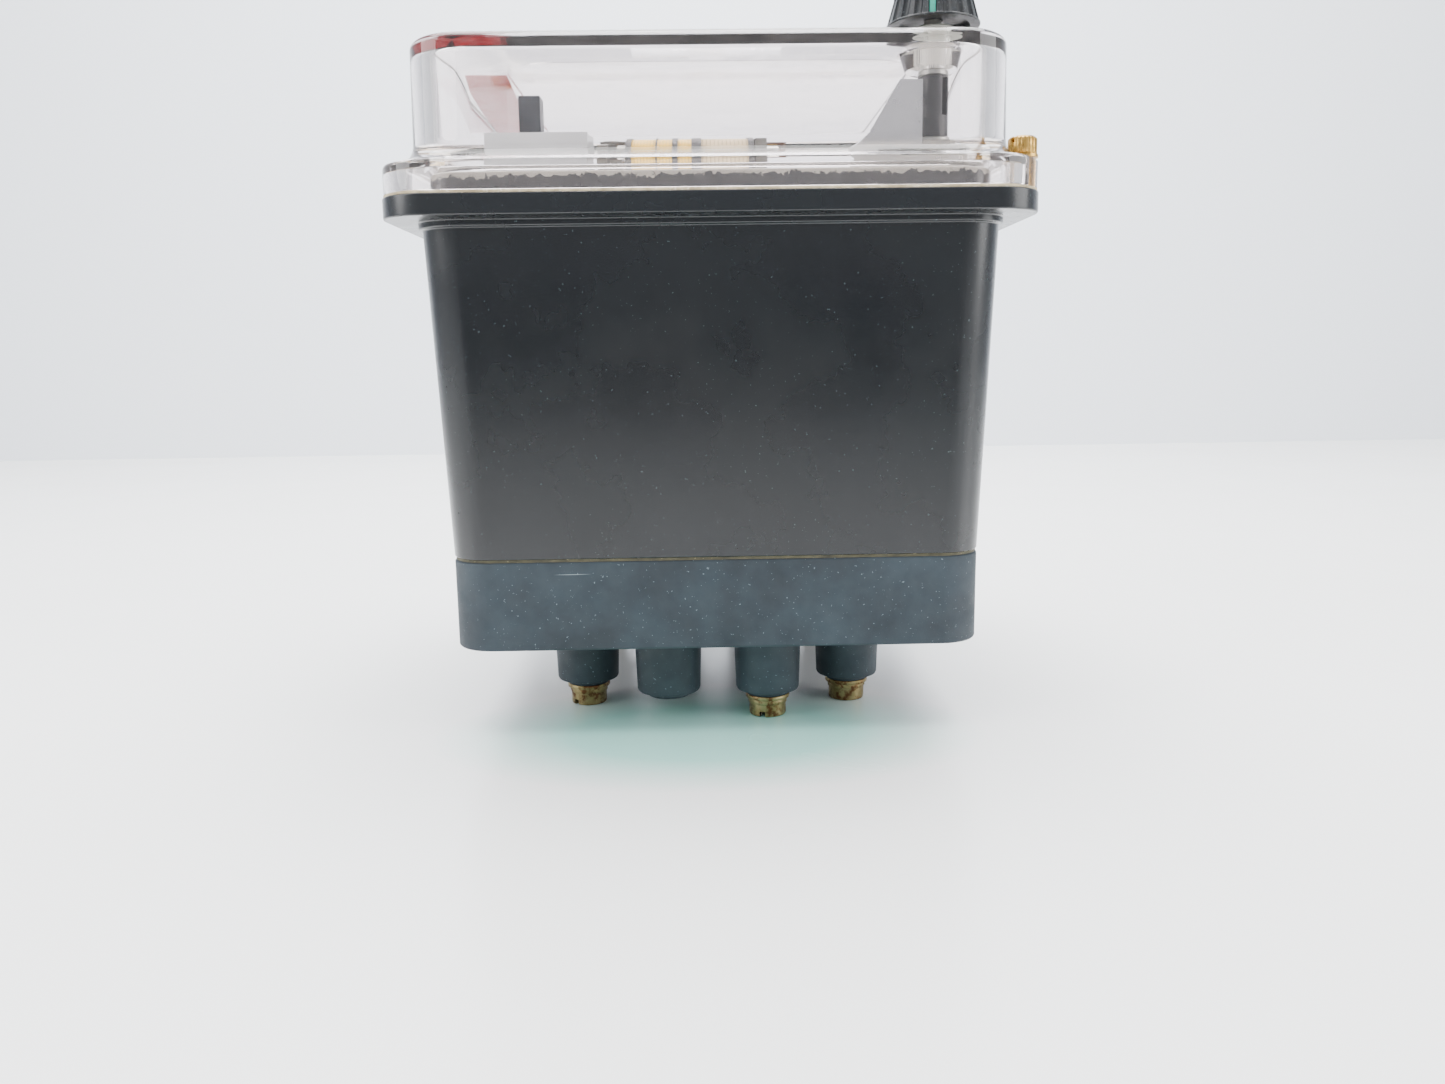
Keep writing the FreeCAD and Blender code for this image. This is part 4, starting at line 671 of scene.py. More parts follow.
# The lower seal has gone dark and olive with oil and dirt.
SEAL_OILED = Finish("oiled_cork_rubber", "#4f4b35", "#2e2c20", mottle_mm=3, mottle_share=0.9,
                    gloss=(0.6, 0.8),
                    grain_mm=0.4, grain_depth_mm=0.05, speck="#8b8468", speck_mm=0.6, speck_share=0.02)
# Yellow-passivated steel screws, spotted with brown rust.
PASSIVATED_STEEL = Finish("yellow_passivated_steel", "#9d9068", "#77683f", mottle_mm=3, mottle_share=0.8,
                          metallic=0.85, gloss=(0.28, 0.5), gloss_mm=1.5, grain_mm=0.2, grain_depth_mm=0.012,
                          rust="#5a3218", rust_mm=1.8, rust_share=0.45)
# Bright zinc-plated steel with a little white bloom.
ZINC_STEEL = Finish("zinc_plated_steel", "#b4b4ae", "#8d8f90", mottle_mm=4, mottle_share=0.5, metallic=0.9,
                    gloss=(0.25, 0.42), gloss_mm=2, grain_mm=0.25, grain_depth_mm=0.006)
# Turned brass, slightly tarnished.
TURNED_BRASS = Finish("turned_brass", "#c9a35a", "#8f6d34", mottle_mm=2.5, mottle_share=0.7, metallic=1.0,
                      gloss=(0.2, 0.38), gloss_mm=1.5, grain_mm=0.12, grain_depth_mm=0.006, brushed=Axis.Z)
# Soft magnetic iron with a dull nickel flash.
SOFT_IRON = Finish("nickelled_soft_iron", "#8b8a85", "#6a6763", mottle_mm=5, mottle_share=0.6, metallic=0.9,
                   gloss=(0.35, 0.5), gloss_mm=3, grain_mm=0.3, grain_depth_mm=0.008, rust="#6b4a2c",
                   rust_mm=3,
                   rust_share=0.1)
# Tinned copper wire and strip.
TINNED_COPPER = Finish("tinned_copper", "#c07f58", "#9c5f3e", mottle_mm=3, mottle_share=0.6, metallic=1.0,
                       gloss=(0.25, 0.4), grain_mm=0.2, grain_depth_mm=0.005, brushed=Axis.Z)
# Mill-finish aluminium sheet: fine rolling lines along the sheet.
SHEET_ALUMINIUM = Finish("rolled_aluminium", "#d3d6d8", "#a9adb0", mottle_mm=6, mottle_share=0.4,
                         metallic=1.0,
                         gloss=(0.25, 0.42), gloss_mm=3, grain_mm=0.18, grain_depth_mm=0.008, brushed=Axis.Z)
# Black moulded nylon and ABS parts: fine spark-eroded texture.
BLACK_MOULDING = Finish("black_moulded_nylon", "#101113", "#1d1f22", mottle_mm=6, mottle_share=0.6,
                        gloss=(0.35, 0.5), grain_mm=0.25, grain_depth_mm=0.01, speck="#3b3f44", speck_mm=0.4,
                        speck_share=0.0)
# The knob: black urea moulding, worn a little lighter, with dust in the flutes.
KNOB_UREA = Finish("black_urea_moulding", "#0e0f11", "#20252a", mottle_mm=3, mottle_share=0.7,
                   gloss=(0.3, 0.48),
                   gloss_mm=2, grain_mm=0.2, grain_depth_mm=0.012, speck="#6d7479", speck_mm=0.35,
                   speck_share=0.02)
# Light grey moulded cover of the auxiliary switch.
GREY_MOULDING = Finish("light_grey_moulded_abs", "#c9ccce", "#b2b5b7", mottle_mm=7, mottle_share=0.5,
                       gloss=(0.35, 0.5), grain_mm=0.3, grain_depth_mm=0.01, speck="#8b8e90", speck_mm=0.6,
                       speck_share=0.0)
# Paper-based laminate, brown, with its sheets showing as fine streaks.
BROWN_LAMINATE = Finish("paper_phenolic_laminate", "#5a3418", "#3c210e", mottle_mm=2.5, mottle_share=0.9,
                        gloss=(0.35, 0.5), grain_mm=0.3, grain_depth_mm=0.012, brushed=Axis.X)
# Clear-white nylon washer and collar under the knob.
NATURAL_NYLON = Finish("natural_nylon", "#dcdcd2", "#bfc3bd", mottle_mm=2, mottle_share=0.5,
                       gloss=(0.25, 0.4),
                       grain_mm=0.3, grain_depth_mm=0.01)
# Teal painted reflection, laid as a thin strip of colour into one flute of the knob.
PAINTED_FLUTE_GLINT = Finish("teal_painted_glint", "#159a83", "#0f6e61", mottle_mm=1.5, mottle_share=0.6,
                     gloss=(0.35, 0.5),
                     grain_mm=0.2, grain_depth_mm=0.02)
# Glossy red embossing tape.
RED_TAPE = Finish("red_embossing_vinyl", "#c2202a", "#9c141d", mottle_mm=10, mottle_share=0.5,
                  gloss=(0.2, 0.34),
                  grain_mm=0.6, grain_depth_mm=0.01, speck="#e09a96", speck_mm=0.7, speck_share=0.0)
# Varnished polyester tape round the coil, in yellow and in beige, wound turn beside turn.
YELLOW_TAPE = Finish("yellow_polyester_tape", "#e3b500", "#8e7000", mottle_mm=3, mottle_share=0.3,
                     gloss=(0.25, 0.4),
                     grain_mm=0.2, grain_depth_mm=0.01, wound=Axis.X, wound_mm=0.55)
BEIGE_TAPE = Finish("beige_cotton_tape", "#c2ae86", "#7c6a48", mottle_mm=3, mottle_share=0.3,
                    gloss=(0.5, 0.7),
                    grain_mm=0.25, grain_depth_mm=0.03, wound=Axis.X, wound_mm=0.7)
# The dark blue-black of the test plunger.
PLUNGER_MOULDING = Finish("dark_polyamide", "#14171c", "#242a33", mottle_mm=3, mottle_share=0.5,
                          gloss=(0.4, 0.55),
                          grain_mm=0.25, grain_depth_mm=0.01)


class Wardrobe:
    """Makes each finish once and puts pieces on their bodies."""

    def __init__(self) -> None:
        """Start with no materials made."""
        self.made: dict[str, bpy.types.Material] = {}

    def material(self, finish: object) -> bpy.types.Material:
        """Give a finish's material, made the first time it is asked for."""
        if finish.name not in self.made:
            self.made[finish.name] = finish.build()
        return self.made[finish.name]

    def dress(self, piece: bpy.types.Object, finish: object, body: str, replaces: Iterable[str] = (),
              angle: float = 35) -> bpy.types.Object:
        """Finish a new piece: shading, material, body and the CAD nodes that it stands for.

        Args:
            piece: the object.
            finish: its finish.
            body: the body that it rides on.
            replaces: CAD nodes that it stands for.
            angle: shading stays sharp across edges of more than this many degrees.

        Returns:
            The piece.
        """
        shade(piece, angle)
        piece.data.materials.clear()
        piece.data.materials.append(self.material(finish))
        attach(piece, body)
        nodes = list(replaces)
        if nodes:
            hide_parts(*nodes)
        LOG.info("%s rides on %s", piece.name, body)
        return piece

    def dress_node(self, node: str, finish: object) -> None:
        """Give a carried-over CAD node its material."""
        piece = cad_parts[node]
        for slot in piece.material_slots:
            slot.material = self.material(finish)
        if not piece.material_slots:
            piece.data.materials.append(self.material(finish))


WARDROBE = Wardrobe()


@dataclass
class Case:
    """The drafted case with its ledge, flange, collar and pillars, and the seal under it."""

    corner: float = 7.5
    foot_width: float = 95.3
    top_width: float = 99.4
    ledge_width: float = 100.5
    ledge_height: float = 1.2
    flange_height: float = 3.5
    collar_width: float = 98.6
    collar_height: float = 4.0
    wall: float = 3.2
    collar_wall: float = 2.5
    edge: float = 0.45
    pillar_place: float = 40.0
    pillar_radius: float = 4.5
    pillar_drop: float = 17.8
    insert_radius: float = 2.1
    insert_depth: float = 3.0

    def build(self) -> None:
        """Model and dress the case and its lower seal."""
        case = span_of("case_body")
        top = case.high.z
        flange_top = top - self.collar_height
        flange_low = flange_top - self.flange_height
        ledge_low = flange_low - self.ledge_height
        rings = [
            (self.foot_width, case.low.z),
            (self.top_width, ledge_low),
            (self.ledge_width, ledge_low),
            (self.ledge_width, flange_low),
            (case.size.x, flange_low),
            (case.size.x, flange_top),
            (self.collar_width, flange_top),
            (self.collar_width, top),
            (self.collar_width - 2 * self.collar_wall, top),
            (self.foot_width - 2 * self.wall, case.low.z),
        ]
        shell = start_square("moulded_case", self.foot_width, self.corner, case.low.z)
        open_ends(grow(shell, rings))
        face_outwards(shell)
        soften(shell, self.edge, 3)
        holes = []
        for side in (1, -1):
            centre = (COVER_SCREW_PLACE[0] * side, COVER_SCREW_PLACE[1] * side)
            levels = (flange_top - self.insert_depth, flange_top + 1)
            holes.append(turned("insert_hole", [(self.insert_radius, level) for level in levels], centre))
        combine(shell, join("case_holes", holes), "DIFFERENCE")
        WARDROBE.dress(shell, CASE_PHENOLIC, "case", ["case_body"])
        self.build_pillars(case.low.z, top - self.pillar_drop)
        self.build_seal()

    def build_pillars(self, low: float, high: float) -> None:
        """Model the four corner pillars under the chassis."""
        pillars = []
        for sx in (-1, 1):
            for sy in (-1, 1):
                centre = (sx * self.pillar_place, sy * self.pillar_place)
                pillars.append(turned("pillar", [(self.pillar_radius, low), (self.pillar_radius, high)],
                                      centre, 24))
        WARDROBE.dress(join("case_pillars", pillars), CASE_PHENOLIC, "case")

    def build_seal(self) -> None:
        """Model the seal between case and base."""
        seal = span_of("base_gasket")
        width = seal.size.x
        inner = width - 2 * self.wall + 0.8
        ring = start_square("base_seal", width, self.corner, seal.low.z)
        rings = [(width, seal.low.z), (width, seal.high.z), (inner, seal.high.z), (inner, seal.low.z)]
        open_ends(grow(ring, rings))
        WARDROBE.dress(face_outwards(ring), SEAL_OILED, "case", ["base_gasket"])


@dataclass
class TerminalBase:
    """The moulded base with its eight bosses and four counterbores."""

    corner: float = 7.5
    wall: float = 3.2
    floor: float = 4.0
    boss_end: float = 6.0
    boss_root: float = 6.35
    spigot: float = 4.1
    spigot_height: float = 0.9
    fillet: float = 0.9
    ring_radius: float = 36.5
    angles: tuple[float, ...] = (15.0, 45.0)
    counterbore: float = 4.0
    counterbore_depth: float = 3.2
    edge: float = 0.5

    def places(self) -> list[tuple[float, float, float]]:
        """List the terminals.

        Returns:
            X, Y in mm and the angle about the middle in degrees, front ones first, left to right.
        """
        found = []
        for side in (-90, 90):
            for step in (-self.angles[1], -self.angles[0], self.angles[0], self.angles[1]):
                angle = side + step
                reach = math.radians(angle)
                found.append((self.ring_radius * math.cos(reach), self.ring_radius * math.sin(reach), angle))
        return found

    def build(self) -> None:
        """Model and dress the base."""
        base = span_of("terminal_base")
        width = base.size.x
        bottom = base.high.z - 16.1
        inner = width - 2 * self.wall
        tray = start_square("terminal_block", width, self.corner, bottom)
        rings = [(width, bottom), (width, base.high.z), (inner, base.high.z), (inner, bottom + self.floor)]
        grow(tray, rings)
        face_outwards(tray)
        soften(tray, self.edge, 3)
        bosses, bores = [], []
        for x, y, _angle in self.places():
            bosses.append(self.boss(x, y, base.low.z, bottom))
            bores.append(turned("bush_bore", [(3.0, base.low.z - 1), (3.0, bottom + self.floor + 1)], (x, y)))
        for sx in (-1, 1):
            for sy in (-1, 1):
                centre = (sx * 40.0, sy * 40.0)
                bores.append(turned("counterbore", [(self.counterbore, bottom - 1),
                                                    (self.counterbore, bottom + self.counterbore_depth)],
                                                    centre))
        combine(tray, join("bosses", bosses), "UNION")
        combine(tray, join("bores", bores), "DIFFERENCE")
        WARDROBE.dress(tray, BASE_PHENOLIC, "case", ["terminal_base"])

    def boss(self, x: float, y: float, low: float, root: float) -> bpy.types.Object:
        """Model one boss, with a spigot at its end and a fillet at its root.

        Args:
            x: its place, mm.
            y: its place, mm.
            low: level of the spigot's end, mm.
            root: level of the base's underside, mm.

        Returns:
            The boss.
        """
        step = low + self.spigot_height
        rings = [(self.spigot - 0.15, low), (self.spigot, low + 0.15), (self.spigot, step),
                 (self.boss_end - 0.5, step), (self.boss_end - 0.15, step + 0.15),
                 (self.boss_end, step + 0.5),
                 (self.boss_root, root - self.fillet)]
        for turn in (22.5, 45.0, 67.5, 90.0):
            rise = math.radians(turn)
            rings.append((self.boss_root + self.fillet * (1 - math.cos(rise)),
                          root - self.fillet + self.fillet * math.sin(rise)))
        rings.append((rings[-1][0], root + 1.0))
        return turned("boss", rings, (x, y), 56)


@dataclass
class Terminals:
    """The terminal screws with their washers. One place is empty, and shows its open brass bush."""

    head_radius: float = 3.5
    head_height: float = 2.4
    thread_radius: float = 2.0
    slot_width: float = 1.1
    slot_depth: float = 1.1
    washer_radius: float = 4.2
    split_radius: float = 3.7
    bore_radius: float = 2.15
    empty: int = 1

    def build(self) -> None:
        """Model one of each and copy it round the ring."""
        screw, split, washer = self.screw(), self.split_washer(), self.washer()
        screws, splits, washers = [], [], []
        for index, (x, y, angle) in enumerate(TerminalBase().places()):
            if index == self.empty:
                continue
            turn = angle * 2.3 + index * 31
            shift = Vector((x, y, 0))
            screws.append(copy_to(screw, "screw_copy", shift, turn))
            splits.append(copy_to(split, "split_copy", shift, turn * 1.7))
            washers.append(copy_to(washer, "washer_copy", shift, turn))
        for pattern in (screw, split, washer):
            bpy.data.objects.remove(pattern, do_unlink=True)
        WARDROBE.dress(join("cheese_head_screws", screws), PASSIVATED_STEEL, "case", ["terminal_screws"])
        WARDROBE.dress(join("split_spring_washers", splits), PASSIVATED_STEEL, "case",
                       ["terminal_spring_washers"])
        WARDROBE.dress(join("plain_washers", washers), PASSIVATED_STEEL, "case", ["terminal_washers"])

    def screw(self) -> bpy.types.Object:
        """Model a cheese-head screw about the origin, head down."""
        head = self.head_height
        length = span_of("terminal_screws").size.z
        rings = [(self.head_radius - 0.35, 0.0), (self.head_radius - 0.1, 0.1), (self.head_radius, 0.35),
                 (self.head_radius, head), (self.thread_radius, head), (self.thread_radius, length)]
        screw = turned("screw", rings, steps=40)
        reach = self.head_radius + 1
        slot = block("slot", (-reach, -self.slot_width / 2, -1),
                     (reach, self.slot_width / 2, self.slot_depth), 0)
        return soften(combine(screw, slot, "DIFFERENCE"), 0.08, 1, 50)

    def split_washer(self) -> bpy.types.Object:
        """Model a split spring washer about the origin, its ends a little apart."""
        box = span_of("terminal_spring_washers")
        ring = self.ring("split", self.split_radius, box.low.z, box.high.z)
        gap = block("gap", (1, -0.45, box.low.z - 1), (6, 0.45, box.high.z + 1), 0)
        return soften(combine(ring, gap, "DIFFERENCE"), 0.12, 2, 50)

    def washer(self) -> bpy.types.Object:
        """Model a plain washer about the origin."""
        box = span_of("terminal_washers")
        return soften(self.ring("washer", self.washer_radius, box.low.z, box.high.z), 0.15, 2, 50)

    def ring(self, name: str, radius: float, low: float, high: float) -> bpy.types.Object:
        """Model a flat ring about the origin."""
        rings = [(radius, low), (radius, high), (self.bore_radius, high), (self.bore_radius, low)]
        piece = start_disc(name, radius, (0, 0, low), 40)
        return face_outwards(open_ends(grow(piece, rings)))


@dataclass
class ClearCover:
    """The clear cover: hollow rim, coved foot, upright wall, rounded top, and the funnel under the knob."""

    inner_corner: float = 8.4
    wall: float = 2.5
    rim_wall: float = 2.6
    rim_height: float = 5.05
    rim_plate: float = 1.1
    foot_width: float = 101.1
    top_width: float = 100.6
    cove_width: float = 108.2
    cove_height: float = 3.9
    top_plate: float = 2.0
    top_edge: float = 1.6
    window_width: float = 73.0
    window_corner: float = 9.0
    window_depth: float = 0.4
    funnel_top: float = 6.5
    funnel_end: float = 4.7
    boss_radius: float = 2.6

    def build(self) -> None:
        """Model and dress the cover and its seal."""
        cover = span_of("clear_cover")
        low, high = cover.low.z, cover.high.z
        rim_top = low + self.rim_height
        inside = high - self.top_plate
        rim = cover.size.x - 0.04
        hollow = rim - 2 * self.rim_wall
        room = self.top_width - 2 * self.wall
        rings = [(room - 1.6, inside), (room - 0.5, inside - 0.3), (room, inside - 1.0),
                 (room, rim_top - self.rim_plate), (hollow, rim_top - self.rim_plate), (hollow, low),
                 (rim, low),
                 (rim, rim_top - 0.9), (rim - 0.3, rim_top - 0.35), (rim - 0.9, rim_top - 0.08),
                 (rim - 1.7, rim_top)]
        rings += self.cove(rim_top)
        rings += self.shoulder(high)
        shell = start_square("acrylic_cover", room - 1.6, self.inner_corner, inside, 12)
        grow(shell, rings)
        face_outwards(shell)
        soften(shell, 0.3, 2, 50)
        window = start_square("window", self.window_width, self.window_corner, inside - 1, 8)
        grow(window, [(self.window_width, inside - 1), (self.window_width - 0.6, inside + self.window_depth)])
        combine(shell, face_outwards(window), "DIFFERENCE")
        knob = span_of("knob").middle
        axis = (knob.x, knob.y)
        shank_low = span_of("knob_bush").low.z
        funnel = turned("funnel", [(self.funnel_end, shank_low), (self.funnel_end + 0.25, shank_low + 0.2),
                                   (self.funnel_top - 0.8, inside - 0.25),
                                   (self.funnel_top + 0.4, inside + 0.1),
                                   (self.funnel_top + 0.4, inside + 0.8)], axis, 64)
        combine(shell, funnel, "UNION")
        holes = [turned("bush_hole", [(2.3, shank_low - 1), (2.3, high + 1)], axis, 40)]
        bosses = []
        for side in (1, -1):
            centre = (COVER_SCREW_PLACE[0] * side, COVER_SCREW_PLACE[1] * side)
            bosses.append(turned("rim_boss", [(self.boss_radius, low), (self.boss_radius, rim_top - 0.6)],
                                 centre))
            holes.append(turned("screw_hole", [(1.4, low - 1), (1.4, rim_top + 1)], centre, 32))
        combine(shell, join("rim_bosses", bosses), "UNION")
        combine(shell, join("cover_holes", holes), "DIFFERENCE")
        WARDROBE.dress(shell, COVER_ACRYLIC, "cover", ["clear_cover"])
        self.build_seal()

    def cove(self, low: float) -> list[Ring]:
        """List the rings of the hollow curve from the rim up to the wall."""
        rings = []
        steps = 7
        for index in range(steps + 1):
            turn = math.pi / 2 * index / steps
            width = self.foot_width + (self.cove_width - self.foot_width) * (1 - math.sin(turn))
            rings.append((width, low + self.cove_height * (1 - math.cos(turn))))
        return rings

    def shoulder(self, high: float) -> list[Ring]:
        """List the rings of the rounded edge between the wall and the top."""
        rings = []
        steps = 5
        for index in range(steps + 1):
            turn = math.pi / 2 * index / steps
            width = self.top_width - 2 * self.top_edge * (1 - math.cos(turn))
            rings.append((width, high - self.top_edge * (1 - math.sin(turn))))
        return rings

    def build_seal(self) -> None:
        """Model the seal under the rim."""
        seal = span_of("cover_gasket")
        width = seal.size.x
        inner = width - 2 * self.rim_wall + 0.8
        ring = start_square("cover_seal", width, 8.6, seal.low.z)
        open_ends(grow(ring, [(width, seal.low.z), (width, seal.high.z), (inner, seal.high.z),
                              (inner, seal.low.z)]))
        WARDROBE.dress(face_outwards(ring), SEAL_CORK, "case", ["cover_gasket"])


@dataclass
class CoverScrews:
    """Two knurled captive brass screws at opposite corners of the rim."""

    radius: float = 2.4
    shank: float = 1.25
    knurls: int = 22
    knurl_radius: float = 0.22
    slot_width: float = 0.6
    slot_depth: float = 1.0

    def build(self) -> None:
        """Model one and copy it to the other corner."""
        box = span_of("cover_screws")
        washer = span_of("cover_washers")
        low, high, seat = box.low.z, box.high.z, washer.high.z
        rings = [(self.shank, low), (self.shank, seat), (self.radius - 0.25, seat),
                 (self.radius, seat + 0.25),
                 (self.radius, high - 0.4), (self.radius - 0.4, high)]
        screw = turned("cover_screw", rings, steps=self.knurls * 4)
        tools = []
        for index in range(self.knurls):
            turn = 2 * math.pi * index / self.knurls
            centre = (self.radius * math.cos(turn), self.radius * math.sin(turn))
            tools.append(turned("knurl", [(self.knurl_radius, seat - 1), (self.knurl_radius, high + 1)],
                                centre, 8))
        combine(screw, join("knurls", tools), "DIFFERENCE")
        slot = block("slot", (-4, -self.slot_width / 2, high - self.slot_depth),
                     (4, self.slot_width / 2, high + 1), 0)
        combine(screw, slot, "DIFFERENCE")
        copies = []
        for side in (1, -1):
            shift = Vector((*COVER_SCREW_PLACE, 0)) * side
            copies.append(copy_to(screw, "cover_screw_copy", shift, 35 * side))
        bpy.data.objects.remove(screw, do_unlink=True)
        WARDROBE.dress(join("knurled_cover_screws", copies), TURNED_BRASS, "cover", ["cover_screws"],
                       50)


@dataclass
class Knob:
    """The fluted knob with its rim, hollow underside, a painted teal reflection in one flute, collar and shaft."""

    base_radius: float = 7.85
    waist_radius: float = 6.7
    waist_rise: float = 4.4
    top_radius: float = 5.6
    skirt_radius: float = 8.0
    recess_radius: float = 6.3
    recess_depth: float = 1.0
    skirt_height: float = 0.4
    flutes: int = 20
    flute_radius: float = 0.8
    flute_out: float = 0.22
    flute_overrun: float = 0.5
    # Turn, width, depth, sink and end of the teal painted reflection in one flute; the flutes are placed from its
    # turn.
    glint_turn: float = 258.0
    glint_width: float = 1.0
    glint_depth: float = 0.6
    glint_sink: float = 0.3
    glint_end: float = 0.9

    def build(self) -> None:
        """Model and dress the knob and what is on its axis."""
        box = span_of("knob")
        axis = (box.middle.x, box.middle.y)
        low, high = box.low.z, box.high.z
        skirt = low + self.skirt_height
        waist = low + self.waist_rise
        rings = [(self.recess_radius, low + self.recess_depth), (self.recess_radius, low),
                 (self.skirt_radius - 0.1, low), (self.skirt_radius, low + 0.1),
                 (self.skirt_radius, skirt - 0.1),
                 (self.skirt_radius - 0.1, skirt), (self.base_radius, skirt), (self.waist_radius, waist),
                 (self.top_radius + 0.1, high - 0.9), (self.top_radius, high - 0.45),
                 (self.top_radius - 0.4, high - 0.1), (self.top_radius - 0.8, high)]
        knob = turned("fluted_knob", rings, axis, self.flutes * 6)
        stages = ((self.base_radius, self.waist_radius, skirt, waist),
                  (self.waist_radius, self.top_radius, waist, high))
        for stage in stages:
            combine(knob, join("flutes", self.flute_bars(axis, stage)), "DIFFERENCE")
        soften(knob, 0.08, 2, 40)
        WARDROBE.dress(knob, KNOB_UREA, "knob", ["knob"], 45)
        self.build_painted_glint(axis, stages)
        self.build_collar(axis)

    @staticmethod
    def slope(stage: tuple[float, float, float, float]) -> float:
        """Give the lean of one stage's side, in radians."""
        foot, top, low, high = stage
        return math.atan((foot - top) / (high - low))

    def flute_bars(self, axis: tuple[float, float], stage: tuple[float, float, float, float]) -> list:
        """Model the leaning round bars that cut the flutes of one stage."""
        bars = []
        foot, _, low, high = stage
        length = (high - low) / math.cos(self.slope(stage)) + self.flute_overrun
        for index in range(self.flutes):
            bar = turned("flute", [(self.flute_radius, 0), (self.flute_radius, length)], steps=14)
            self.lean_bar(bar, axis, low, self.slope(stage), self.glint_turn + 360 * index / self.flutes,
                          foot + self.flute_out)
            bars.append(bar)
        return bars

    @staticmethod
    def lean_bar(bar: bpy.types.Object, axis: tuple[float, float], low: float, lean: float, turn: float,
                 reach: float) -> None:
        """Lean an upright bar inwards and set it against the knob's side.

        Args:
            bar: the bar, modelled about the origin.
            axis: the knob's X and Y, mm.
            low: level of its foot, mm.
            lean: lean in radians.
            turn: its direction from the axis, degrees.
            reach: its distance from the axis at the foot, mm.
        """
        there = Matrix.Translation(Vector((axis[0], axis[1], low)) * MM)
        swing = Matrix.Rotation(math.radians(turn), 4, "Z")
        out = Matrix.Translation(Vector((reach * MM, 0, 0)))
        bar.data.transform(there @ swing @ out @ Matrix.Rotation(-lean, 4, "Y"))

    def build_painted_glint(self, axis: tuple[float, float],
                    stages: Sequence[tuple[float, float, float, float]]) -> None:
        """Model the painted teal reflection: a thin strip that fills one flute from the skirt to the top."""
        half = self.glint_width / 2
        lines = []
        for stage in stages:
            foot, _, low, high = stage
            end = self.glint_end if stage is stages[-1] else 0.0
            length = (high - low - end) / math.cos(self.slope(stage))
            line = block("painted_glint_line", (-self.glint_depth, -half, 0), (0, half, length), 0.08)
            self.lean_bar(line, axis, low + 0.05, self.slope(stage), self.glint_turn, foot - self.glint_sink)
            lines.append(line)
        WARDROBE.dress(join("painted_glint_line", lines), PAINTED_FLUTE_GLINT, "knob", ["knob_index"])

    def build_collar(self, axis: tuple[float, float]) -> None:
        """Model the flanged nylon bush that stands on the cover."""
        box = span_of("knob_bush")
        top = span_of("clear_cover").high.z
        rings = [(2.3, box.low.z), (2.3, top), (4.2, top), (4.5, top + 0.3), (4.5, top + 1.5),
                 (4.1, top + 1.9),
                 (4.1, box.high.z - 0.3), (3.8, box.high.z), (1.6, box.high.z), (1.6, box.low.z)]
        bush = start_disc("nylon_collar", 2.3, (axis[0], axis[1], box.low.z), 48)
        open_ends(grow(bush, rings, axis))
        WARDROBE.dress(face_outwards(bush), NATURAL_NYLON, "cover", ["knob_bush"], 40)


@dataclass
class Label:
    """The strip of embossing tape along the left of the cover, left blank."""

    width: float = 8.6
    length: float = 52.0
    turn: float = 3.4
    edge: float = 0.05
    sink: float = 0.06

    def build(self) -> None:
        """Model and dress the tape."""
        box = span_of("front_label")
        tape = block("embossing_tape", (-self.width / 2, -self.length / 2, 0),
                     (self.width / 2, self.length / 2, box.size.z + self.sink), self.edge)
        middle = box.middle
        there = Matrix.Translation(Vector((middle.x, middle.y, box.low.z - self.sink)) * MM)
        tape.data.transform(there @ Matrix.Rotation(math.radians(self.turn), 4, "Z"))
        WARDROBE.dress(tape, RED_TAPE, "cover", ["front_label"])


